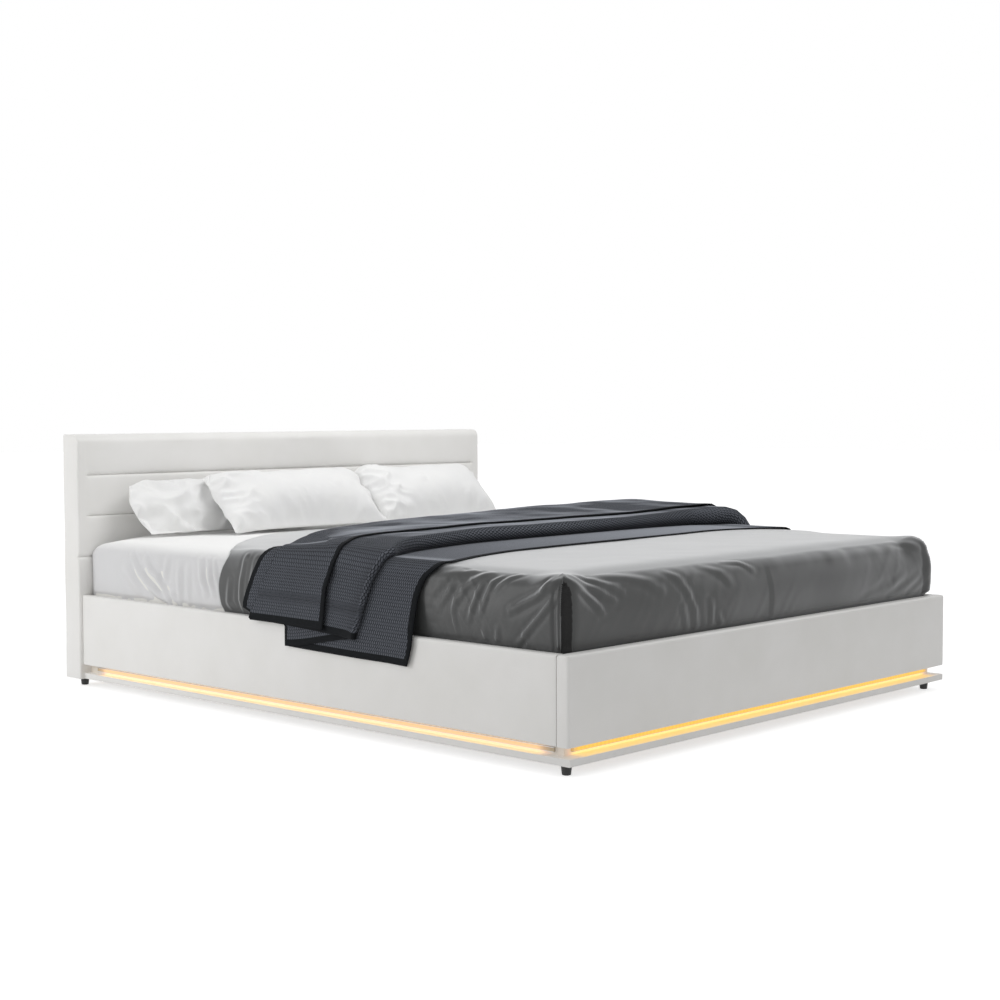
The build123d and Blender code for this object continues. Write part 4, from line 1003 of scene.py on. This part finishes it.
def duvet_lift(x, y, p, q, drop, share):
    """How far the cover stands off the sheet: its bulge, its wrinkles and its folded corners."""
    down = np.maximum(drop - quarter, 0)
    belly = arch(down / (rail_drop - quarter))
    side = smooth(drop, 0.01, 0.06)
    tucked = smooth(drop, rail_drop - 0.016, rail_drop - 0.002)
    on_foot = share >= 0.5
    near = (p < -flat_x) & ~on_foot
    along = np.where(on_foot, x, y)
    small = (1 - np.abs(noise(along * 24 + drop * 17, drop * 4, 21))) ** 3
    fine = (1 - np.abs(noise(along * 70 - drop * 30, drop * 8, 23))) ** 2
    beside_corner = near * smooth(y, -0.95, -0.75) * smooth(-y, 0, 0.1)
    busy = 0.25 + 0.45 * beside_corner + 0.3 * noise(along * 3, drop * 4, 24)
    wrinkle = side * (small_wrinkle * small + fine_wrinkle * fine) * np.maximum(busy, 0.05)
    soft = side * side_wave * noise(along * 5, drop * 6, 26)
    foot_gain = (0.45 - 0.2 * smooth(x, 0.2, 0.5)) * (on_foot & (q < 0))
    pinched = near_fold_gain * folds(y, drop, near_folds) * near + folds(x, drop, foot_folds) * foot_gain
    level = level_wave * layered_noise(x * 3.2, y * 4.1, 25) * (1 - side)
    shoulder = smooth(drop, 0.0, 0.02) * (1 - smooth(drop, 0.05, 0.09))
    roll_off = shoulder_wave * noise(along * 20, drop * 2 + 3, 27) * shoulder
    lift = cover_rest + cover_belly * belly * side + wrinkle + soft + level + pinched + roll_off
    lift = lift + corner_lift(p, q, drop, share)
    return lift * (1 - tucked) + np.clip(lift, tucked_low, tucked_high) * tucked


def around_corner(p, q, share):
    """Distance round a foot corner, from 0 where the rounding starts at the side."""
    arc_length = (form_radius + corner_rise) * math.pi / 2
    inside = np.where(share >= 1, flat_x - np.abs(p), 0)
    return share * arc_length + inside - np.where(share <= 0, flat_y - np.abs(q), 0)


def fold_edge(drop):
    """Where the near corner's standing edge lies round it: by the apex at the top, further back below."""
    return edge_place + apex_shift * np.exp(-np.maximum(drop - 0.020, 0) / 0.014)


def pocket_at(p, q, drop, share):
    """The open pocket of the near corner's fold, from 0 outside to 1 inside."""
    place = around_corner(p, q, share)
    edge = fold_edge(drop)
    far_end = 0.056 + 0.022 * smooth(drop, 0.018, 0.050)
    pocket = smooth(place, edge + 0.001, edge + 0.007) * (1 - smooth(place, far_end - 0.028, far_end))
    return pocket * smooth(drop, 0.018, 0.032) * ((p < 0) & (q < 0))


def corner_lift(p, q, drop, share):
    """The cover's folded corners at the foot: an open pocket at the near one, a bulge at the far one."""
    place = around_corner(p, q, share)
    depth = smooth(drop, 0.012, 0.040)
    edge = edge_height * hump(place - fold_edge(drop), edge_width) * depth
    valley = valley_depth * hump(place - valley_place, 0.006) * smooth(drop, 0.04, 0.07)
    apex = apex_height * hump(drop - apex_drop, 0.012) * arch(share)
    folded = edge - valley - pocket_depth * pocket_at(p, q, drop, share) + apex
    bulge = hump(share - 0.55, 0.33) * (low_bulge * smooth(drop, 0.02, 0.10) + whole_bulge * depth)
    crease = crease_height * hump(share - 0.30, 0.05) * depth
    return (q < 0) * ((p < 0) * folded + (p > 0) * (bulge + crease))


def duvet_piece():
    reach = quarter + tuck_drop
    p_line = stations(
        (-flat_x - reach, -flat_x, 0.0045),
        (-flat_x, -flat_x + 0.12, 0.008),
        (-flat_x + 0.12, flat_x - 0.12, 0.011),
        (flat_x - 0.12, flat_x, 0.008),
        (flat_x, flat_x + reach, 0.006),
    )
    t_line = stations((0, 0.36, 0.0022), (0.36, 0.40, 0.004), (0.40, 0.82, 0.0085), (0.82, 1, 0.0036))
    p, t = np.meshgrid(p_line, t_line, indexing="ij")
    q0 = -flat_y - reach
    q1 = curve_through(duvet_head_line, p / flat_x) - form_middle_y
    q = q0 + (q1 - q0) * t
    place, normal, drop, share = wrap(p, q)
    lift = duvet_lift(place[..., 0], place[..., 1], p, q, drop, share)
    middle = place + normal * lift[..., None]
    piece = cloth("grey_cover", middle, duvet_thickness, satin, np.stack([p, q], -1))
    piece.data.materials.append(satin_pocket_shade)
    # Painted shade: the inside of the near corner's pocket takes the darker satin
    inside = pocket_at(p, q, drop, share) > 0.45
    paint(piece, inside[:-1, :-1] & inside[1:, 1:])
    settle(piece, "platform", "grey_satin", "duvet")


duvet_piece()

# Throw: one cloth, folded three times along the bed and laid across it
throw_thickness = 0.0034
layer_step = 0.0042
head_fold_most = 0.048  # the head fold is no thicker than this
roll_fade = 0.035  # past the roll, the hanging layers lie flat after about this length
hem_width = 0.019
hanging_wave, top_wave = 0.0032, 0.0026
cover_lift = 0.0112  # the grey cover's outer face over the form, at the bed's edge
cover_top_lift = 0.0070
edge_radius = form_radius + cover_lift
rail_round = 0.0095
# Lines across the bed: across as a share of the level top's half width, then the place along the bed
foot_line = [
    (-1.36, -0.532), (-1.27, -0.552), (-1.15, -0.551), (-1.085, -0.567), (-1.04, -0.598), (-1, -0.606),
    (-0.9, -0.575), (-0.76, -0.536), (-0.52, -0.503), (0, -0.494), (0.4, -0.47), (0.7, -0.438),
    (0.9, -0.455), (1.03, -0.53), (1.36, -0.53),
]
roll_line = [
    (-1.36, -0.333), (-1.29, -0.338), (-1.23, -0.352), (-1.166, -0.363), (-1.1, -0.378), (-1.055, -0.398),
    (-1.01, -0.4), (-0.96, -0.375), (-0.88, -0.34), (-0.8, -0.315), (-0.66, -0.29), (-0.44, -0.265),
    (0, -0.264), (0.36, -0.25), (0.64, -0.232), (0.85, -0.225), (1, -0.3), (1.1, -0.34), (1.36, -0.335),
]
hem_line = [
    (-1.36, -0.213), (-1.257, -0.213), (-1.147, -0.207), (-1.08, -0.222), (-1.04, -0.228), (-0.98, -0.205),
    (-0.9, -0.185), (-0.5, -0.172), (0, -0.16), (0.85, -0.16), (1.03, -0.21), (1.36, -0.2),
]
head_line = [
    (-1.36, 0.13), (-1.254, 0.117), (-1.195, 0.096), (-1.119, 0.073), (-1.06, 0.048), (-1.02, 0.05),
    (-0.96, 0.075), (-0.88, 0.105), (-0.6, 0.148), (0, 0.165), (0.9, 0.165), (1.03, 0.15), (1.36, 0.15),
]
# The two lowest layers fold back here. They peek out at the head side, and end further back where they hang
hidden_line = [
    (-1.36, -0.035), (-1.268, -0.035), (-1.242, 0.155), (-1.227, 0.164), (-1.14, 0.149), (-1.055, 0.119),
    (-1, 0.1), (-0.95, 0.112), (-0.88, 0.125), (-0.6, 0.15), (0, 0.16), (0.9, 0.16), (1.03, 0.14),
    (1.36, 0.14),
]
hem_heights = [0.226, 0.236, 0.282, 0.300, 0.298]  # foot hem, hidden fold, roll, head fold, top hem
# Across as above, then the rise in millimetres of the roll, the top hem and the head edge over the bed's edge
stack_rises = [
    (-1.3, 20, 22, 14),
    (-1.14, 25, 24, 14),
    (-1.07, 26, 25, 12),
    (-1.03, 27, 27, 12),
    (-1, 30, 32, 14),
    (-0.965, 37, 41, 18),
    (-0.92, 43, 48, 28),
    (-0.8, 48, 53, 43),
    (-0.62, 50, 56, 53),
    (-0.45, 52, 58, 60),
    (0, 52, 58, 69),
    (0.5, 53, 60, 77),
    (0.9, 58, 66, 80),
    (1, 60, 69, 76),
    (1.05, 53, 62, 52),
    (1.14, 34, 40, 24),
]


def across_geometry():
    """Angle and run of the straight part between the bed's rounded edge and the rail's top corner."""
    corner = (half_width - 0.006, rail_top - 0.006)
    centre = (flat_x, edge_z)
    dx = corner[0] - centre[0]
    dz = corner[1] - centre[1]
    gap = math.hypot(dx, dz)
    lean = math.atan2(-dz, dx) + math.asin((edge_radius - rail_round) / gap)
    run = math.sqrt(gap**2 - (edge_radius - rail_round) ** 2)
    return centre, corner, lean, run


edge_centre, rail_corner, lean, lean_run = across_geometry()
s_arc = flat_x + edge_radius * lean
s_rail = s_arc + lean_run
s_turn = s_rail + rail_round * (math.pi / 2 - lean)


def hem_distance(height):
    """Distance over the cloth from the bed's middle to a hem that hangs at this height."""
    if height < rail_corner[1]:
        return s_turn + rail_corner[1] - height
    return s_rail - (height - rail_corner[1]) / math.cos(math.pi / 2 - lean)


def across(s, lift):
    """Place (x, z) across the bed of a cloth that lies at a lift over the grey cover."""
    a = np.abs(s)
    bend = np.clip((a - flat_x) / edge_radius, 0, lean)
    x = np.clip(a, 0, flat_x) + (edge_radius + lift) * np.sin(bend)
    z = edge_centre[1] + (edge_radius + lift) * np.cos(bend)
    straight = np.clip(a - s_arc, 0, lean_run)
    x = x + straight * math.cos(lean)
    z = z - straight * math.sin(lean)
    past = a > s_rail
    turn = np.clip(lean + (a - s_rail) / rail_round, lean, math.pi / 2)
    down = np.maximum(a - s_turn, 0)
    x = np.where(past, rail_corner[0] + (rail_round + lift) * np.sin(turn), x)
    z = np.where(past, rail_corner[1] + (rail_round + lift) * np.cos(turn) - down, z)
    return x * np.sign(s), z


class Stack:
    """Lines and heights of the folded throw at each distance s across it."""

    def __init__(self, s):
        share = s / flat_x
        lines = (foot_line, hidden_line, roll_line, hem_line, head_line)
        lines = [curve_through(line, share) for line in lines]
        self.foot, self.hidden, self.roll, self.hem, self.head = lines
        over = (cover_lift - cover_top_lift) * (1 - smooth(np.abs(share), 0.9, 1.03))
        crown = form_crown * (1 - np.clip(share, -1, 1) ** 2) * 0.97
        level = smooth(1.06 - np.abs(share), 0, 0.06)
        self.on_top = smooth(1.10 - np.abs(share), 0, 0.08)
        rises = [[(row[0], row[column] / 1000) for row in stack_rises] for column in (1, 2, 3)]
        rises = [curve_through(rise, share) - (over + crown) * level for rise in rises]
        self.roll_top, self.hem_top, self.head_top = rises
        self.low = layer_step * 0.5 - over
        self.roll_radius = (self.roll_top - self.low - layer_step) / 2
        self.fold_low = np.maximum(self.low + layer_step * 2, self.head_top - head_fold_most)
        self.head_radius = (self.head_top - self.fold_low) / 2

    def third(self, y):
        """The layer between the roll and the head fold."""
        flat = self.low + layer_step * 2
        start = self.roll + self.roll_radius
        along = smooth(y, self.hem, self.head - self.head_radius)
        hanging = np.exp(-np.maximum(y - start, 0) / roll_fade)
        top = self.roll_top * (1 - along) + self.fold_low * along
        side = flat + (self.roll_top - flat) * hanging
        side = side * (1 - along) + self.fold_low * along
        return side + (top - side) * self.on_top

    def fourth(self, y):
        """The top layer, from its hem to the head fold."""
        along = smooth(y, self.hem - 0.02, self.head - self.head_radius)
        under = self.third(y) + layer_step * 1.15
        top = self.hem_top * (1 - along) + self.head_top * along
        return np.maximum(under, top)


# Shares of a run of cloth that its bound edge takes
foot_run_length = hidden_line[-2][1] - foot_line[-2][1]
top_run_length = head_line[-2][1] - hem_line[-2][1]
foot_hem_share = hem_width / foot_run_length
top_hem_share = hem_width / top_run_length
end_hem_share = hem_width / (2 * hem_distance(hem_heights[0]))
run_counts = (60, 30, 84, 50)  # columns in each of the four runs of cloth
fold_steps = 11  # columns round each of the three folds between them


def throw_columns():
    """Each column's run, from foot hem to top hem, and its share of it. A fold is half a step past a run."""
    columns = []
    for run, count in enumerate(run_counts):
        line = np.linspace(0, 1, count)
        if run == 0:
            hem = foot_hem_share
            line = np.concatenate([np.linspace(0, hem, 3), np.linspace(hem, 1, count)[1:]])
        if run == 3:
            hem = 1 - top_hem_share
            line = np.concatenate([np.linspace(0, hem, count), np.linspace(hem, 1, 3)[1:]])
        columns += [(run, share) for share in line]
        if run < 3:
            columns += [(run + 0.5, share) for share in np.linspace(0, 1, fold_steps + 2)[1:-1]]
    return np.array(columns).T


def throw_piece():
    kind, share = throw_columns()
    place_of_hem = np.where(kind % 1 == 0, kind + share, kind + 0.5)
    ends_s = np.array([hem_distance(h) for h in curve_through(list(enumerate(hem_heights)), place_of_hem)])
    edge = end_hem_share
    steps = stations((0, edge, edge / 3), (edge, 0.14, 0.0055), (0.14, 0.28, 0.007), (0.28, 0.8, 0.010))
    steps = np.concatenate([steps, stations((0.8, 1 - edge, 0.008), (1 - edge, 1, edge / 3))[1:]])
    s = ends_s[None, :] * (2 * steps[:, None] - 1)
    y, lift = fold_path(Stack(s), kind, share)
    drape = smooth(np.abs(s), s_arc, s_arc + 0.2)
    wave = hanging_wave * drape * (noise(y * 9, y * 0 + 2, 31) + 1)
    level = top_wave * (1 - drape) * (layered_noise(s * 4, y * 5, 33) + 0.6) * (lift > 0.03)
    x, z = across(s, lift + wave + level)
    middle = np.stack([x, y, z + crown_at(s, y)], -1)
    length = np.cumsum(np.hypot(np.diff(y, axis=1), np.diff(lift, axis=1)), axis=1)
    v = np.concatenate([np.zeros((len(s), 1)), length], 1)
    piece = cloth("throw_knit", middle, throw_thickness, knit, np.stack([s + ends_s[None, :], v], -1))
    piece.data.materials.append(binding)
    bound_rows = np.minimum(steps, 1 - steps)
    bound_rows = np.minimum(bound_rows[:-1], bound_rows[1:]) < edge * 0.99
    paint(piece, bound_rows[:, None] | dark_edge_columns(kind, share)[None, :], 1)
    settle(piece, "platform", "slate_knit", "throw")


def fold_path(stack, kind, share):
    """Place along the bed and lift of every column of the cloth, from its foot hem to its top hem."""
    roll_start = stack.roll + stack.roll_radius
    head_start = stack.head - stack.head_radius
    lows = (lambda y: stack.low, lambda y: stack.low + layer_step, stack.third, stack.fourth)
    turns = (stack.foot, stack.hidden, roll_start, head_start, stack.hem)
    y = np.zeros_like(stack.foot)
    lift = np.zeros_like(stack.foot)
    for index, (start, end) in enumerate(zip(turns, turns[1:])):
        chosen = kind == index
        place = start + (end - start) * np.where(chosen, share, 0)[None, :]
        y[:, chosen] = place[:, chosen]
        lift[:, chosen] = lows[index](place)[:, chosen]
    angle = (share * math.pi)[None, :]
    for index, line in enumerate(turns[1:4]):
        chosen = kind == index + 0.5
        low = lows[index](line)
        radius = (lows[index + 1](line) - low) / 2
        way = 1 if index % 2 == 0 else -1
        y[:, chosen] = (line + way * radius * np.sin(angle))[:, chosen]
        lift[:, chosen] = (low + radius - radius * np.cos(angle))[:, chosen]
    return y, lift


def dark_edge_columns(kind, share):
    """The columns of faces that take the binding's dark colour: the foot hem, the top hem and the folded edge
    that peeks out, which is darkened though no binding runs along a fold.
    """
    before, after = kind[:-1], kind[1:]
    foot = (before == 0) & (share[:-1] < foot_hem_share * 0.99)
    top = (after == 3) & (share[1:] > 1 - top_hem_share * 0.99)
    near_fold = (after == 0) & (share[1:] > 1 - 0.6 * hem_width / foot_run_length)
    past_fold = (before == 1) & (share[:-1] < 0.5 * hem_width / foot_run_length)
    return foot | top | near_fold | past_fold | (before == 0.5)


throw_piece()


# Pillows
# Width, height and filled thickness of each case, the angle it leans at, its shift along X and to the head,
# where its loose cloth begins to the left as a share of its half width, the pressure that fills it, how far
# its left side bows out and how high the folds of its loose cloth are
pillow_cases = {
    "pillow_front_left": (0.684, 0.276, 0.130, 43, 0.0, 0.018, 0.50, 3.5, 0.0, 0.0055),
    "pillow_front_right": (0.600, 0.276, 0.130, 43, -0.044, 0.024, 0.40, 3.5, 0.0, 0.0055),
    "pillow_back_left": (0.670, 0.212, 0.110, 56, -0.002, 0.006, -0.8, 1.6, 0.035, 0.0085),
    "pillow_back_right": (0.640, 0.212, 0.110, 56, -0.020, 0.006, 0.3, 3.0, 0.0, 0.0055),
}
pillow_front_share = 0.66  # share of the thickness in front of the seam
seam_freedom = 0.35  # share of the folds' height that reaches the seam
loose_fade = 0.42
pillow_lift = 0.006  # of the seam's lowest point over the pillow's floor


def case_mesh(width, height, bow, seed):
    """An empty case: two grids joined at their seam and a little apart. Its left side bows out."""
    a = stations((-1, -0.5, 0.020), (-0.5, 0.7, 0.030), (0.7, 1, 0.020))
    b = stations((-1, 1, 0.045))
    a, b = np.meshgrid(a, b, indexing="ij")
    x = width / 2 * a * (1 - 0.012 * (1 - b**2))
    x = x - bow * smooth(-a, 0.6, 1.0) * (1 - np.clip(b - 0.15, -1, 1) ** 2)
    droop = 0.020 * smooth(np.abs(a), 0.80, 1.0) * (1 + b) / 2
    y = height / 2 * b * (1 - 0.015 * (1 - a**2)) - droop
    edge = (1 - a**4) * (1 - b**4)
    wave = 0.004 * noise(a * 5, b * 3, seed + 3) * np.abs(a) ** 3
    rise = 0.018 * edge**0.5 + 0.003 * layered_noise(x * 14, y * 14, seed) * edge
    rows, columns = a.shape
    upper = np.arange(rows * columns).reshape(rows, columns)
    inner = np.zeros((rows, columns), bool)
    inner[1:-1, 1:-1] = True
    lower = upper.copy()
    lower[inner] = rows * columns + np.arange(inner.sum())
    front = np.stack([x, y, wave + rise], -1).reshape(-1, 3)
    back = np.stack([x, y, wave - rise], -1)[inner]
    faces = []
    for grid, flip in ((upper, False), (lower, True)):
        quads = np.stack([grid[:-1, :-1], grid[1:, :-1], grid[1:, 1:], grid[:-1, 1:]], -1).reshape(-1, 4)
        faces.append(quads[:, ::-1] if flip else quads)
    seam = np.flatnonzero(~inner.ravel())
    return np.concatenate([front, back]), np.concatenate(faces), seam


def inflate(piece, loose, seam, pressure, frames=24):
    """Fills a closed case with air in a cloth simulation that holds its seam. Gives its new points."""
    group = piece.vertex_groups.new(name="loose")
    for index, share in enumerate(loose):
        group.add([index], float(share), "REPLACE")
    held = piece.vertex_groups.new(name="seam")
    held.add([int(index) for index in seam], 1.0, "REPLACE")
    simulation = piece.modifiers.new("cloth", "CLOTH")
    settings = simulation.settings
    stiffness = {"tension": 20, "compression": 20, "shear": 8, "bending": 0.12}
    for kind, value in stiffness.items():
        setattr(settings, kind + "_stiffness", value)
    settings.quality = 5
    settings.mass = 0.15
    settings.use_pressure = True
    settings.uniform_pressure_force = pressure
    settings.effector_weights.gravity = 0
    settings.vertex_group_mass = "seam"
    settings.vertex_group_shrink = "loose"
    settings.shrink_min = -0.003  # below 0 the cloth grows
    settings.shrink_max = -0.24
    simulation.collision_settings.use_collision = False
    simulation.point_cache.frame_start = 1
    simulation.point_cache.frame_end = frames
    for number in range(1, frames + 1):
        bpy.context.scene.frame_set(number)
    evaluated = piece.evaluated_get(bpy.context.evaluated_depsgraph_get())
    shape = np.array([vertex.co for vertex in evaluated.data.vertices])
    piece.modifiers.clear()
    piece.vertex_groups.clear()
    bpy.context.scene.frame_set(1)
    return shape


def pillow_piece(name, seed):
    low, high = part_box(name)
    width, height, thickness, tilt, shift_x, shift_y, loose_from, pressure, bow, crumple = pillow_cases[name]
    points, faces, seam = case_mesh(width, height, bow, seed)
    piece = make_piece(name + "_case", points, faces, cotton)
    to_right = points[:, 0] / (width / 2)
    loose = smooth(-to_right, loose_from, loose_from + loose_fade)
    shape = inflate(piece, loose, seam, pressure)
    along = shape[:, 0] * 0.5 + shape[:, 1]
    athwart = shape[:, 1] * 0.7 - shape[:, 0]
    ridge = 1 - 2.4 * np.abs(noise(along * 13, athwart * 7, seed + 5))
    ridge += 0.5 * (1 - 2.4 * np.abs(noise(along * 31, athwart * 19, seed + 6)))
    free = np.ones(len(shape))
    free[seam] = seam_freedom
    shape[:, 2] += crumple * ridge * loose * free * np.sign(shape[:, 2])
    front = shape[:, 2] > 0
    shape[front, 2] *= thickness * pillow_front_share / shape[:, 2].max()
    shape[~front, 2] *= thickness * (1 - pillow_front_share) / -shape[:, 2].min()
    turn = math.radians(tilt)
    y = shape[:, 1] * math.cos(turn) - shape[:, 2] * math.sin(turn)
    z = shape[:, 1] * math.sin(turn) + shape[:, 2] * math.cos(turn)
    x = shape[:, 0] + (low.x + high.x) / 2 + shift_x
    floor = low.z + 0.001
    z = z + floor + pillow_lift - z[seam].min()
    y = y + (low.y + high.y) / 2 + shift_y - (y[seam].min() + y[seam].max()) / 2
    placed = np.stack([x, y, np.maximum(z, floor)], -1)
    piece.data.vertices.foreach_set("co", placed.ravel())
    subdivide = piece.modifiers.new("smooth", "SUBSURF")
    subdivide.levels = 1
    subdivide.render_levels = 1
    settle(piece, "platform", "white_cotton", name)


for seed, name in enumerate(pillow_cases):
    pillow_piece(name, 40 + seed * 7)


# Mattress
mattress_inset = 0.0045
mattress_corner_inset = 0.026  # more of it where the sheet is hollow


def mattress_piece():
    reach = quarter + edge_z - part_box("mattress")[0].z
    lines = [
        stations((-half - reach, -half, 0.018), (-half, half, 0.05), (half, half + reach, 0.018))
        for half in (flat_x, flat_y)
    ]
    p, q = np.meshgrid(*lines, indexing="ij")
    place, normal, drop, share = wrap(p, q)
    pocket = arch(share) ** 0.5 * smooth(drop, 0.0, 0.04) * (q < 0)
    points = place - normal * (mattress_inset + mattress_corner_inset * pocket)[..., None]
    rows, columns = p.shape
    index = np.arange(rows * columns).reshape(rows, columns)
    rim = [*index[0, :], *index[1:, -1], *index[-1, -2::-1], *index[-2:0:-1, 0]]
    faces = [list(face) for face in grid_faces(rows, columns)] + [[int(i) for i in rim[::-1]]]
    piece = make_piece("mattress_body", points, faces, ticking, sharp=50)
    settle(piece, "platform", "ticking", "mattress")


mattress_piece()


# Stage: floor, lights and camera
ambient = 0.575  # the world's light on the object
floor_glow = 0.66  # added to what is seen of the floor, which looks white and keeps the shadow


def floor_piece():
    reach = 30.0
    corners = [(-reach, -reach, 0), (reach, -reach, 0), (reach, reach, 0), (-reach, reach, 0)]
    finish = Finish("floor", 0.9, {"Base Color": (0.8, 0.8, 0.8, 1), "Specular IOR Level": 0.1})
    strength = finish.calc("MULTIPLY", finish.in_sight(), floor_glow)
    light = finish.node("Emission", {"Color": (1, 1, 1, 1), "Strength": strength})
    both = finish.node("AddShader", {0: finish.shader.outputs[0], 1: light.outputs[0]})
    finish.feed(finish.output, {"Surface": both.outputs[0]})
    make_piece("floor", corners, [[0, 1, 2, 3]], finish.material)


def world():
    made = bpy.data.worlds.new("studio")
    bpy.context.scene.world = made
    made.use_nodes = True
    sky = Nodes(made.node_tree)
    strength = sky.remap(sky.in_sight(), ambient, 1.0)
    background = sky.node("Background", {"Color": (1, 1, 1, 1), "Strength": strength})
    sky.node("OutputWorld", {"Surface": background.outputs[0]})


def softbox(name, place, aim, size, power):
    data = bpy.data.lights.new(name, "AREA")
    data.shape = "RECTANGLE"
    data.size, data.size_y = size
    data.energy = power
    lamp = add_object(name, data)
    lamp.location = place
    lamp.rotation_euler = (Vector(aim) - Vector(place)).to_track_quat("-Z", "Y").to_euler()


def camera():
    data = bpy.data.cameras.new("camera")
    data.lens = camera_lens
    data.sensor_width = camera_sensor
    data.clip_end = 100
    made = add_object("camera", data)
    made.location = camera_place
    yaw, pitch = math.radians(camera_yaw), math.radians(camera_pitch)
    ahead = Vector((math.cos(yaw) * math.cos(pitch), math.sin(yaw) * math.cos(pitch), math.sin(pitch)))
    turn = ahead.to_track_quat("-Z", "Y").to_matrix().to_4x4()
    roll = Euler((0, 0, math.radians(-camera_roll))).to_matrix().to_4x4()
    made.rotation_euler = (turn @ roll).to_euler()
    bpy.context.scene.camera = made


floor_piece()
world()
softbox("side", place=(-3.4, 1.6, 1.2), aim=(-0.9, 0.2, 0.3), size=(1.4, 1.4), power=24)
softbox("above", place=(0.1, -0.5, 2.4), aim=(0.1, 0.9, 0.5), size=(1.6, 1.2), power=24)
camera()
bpy.context.scene.view_settings.view_transform = "Standard"
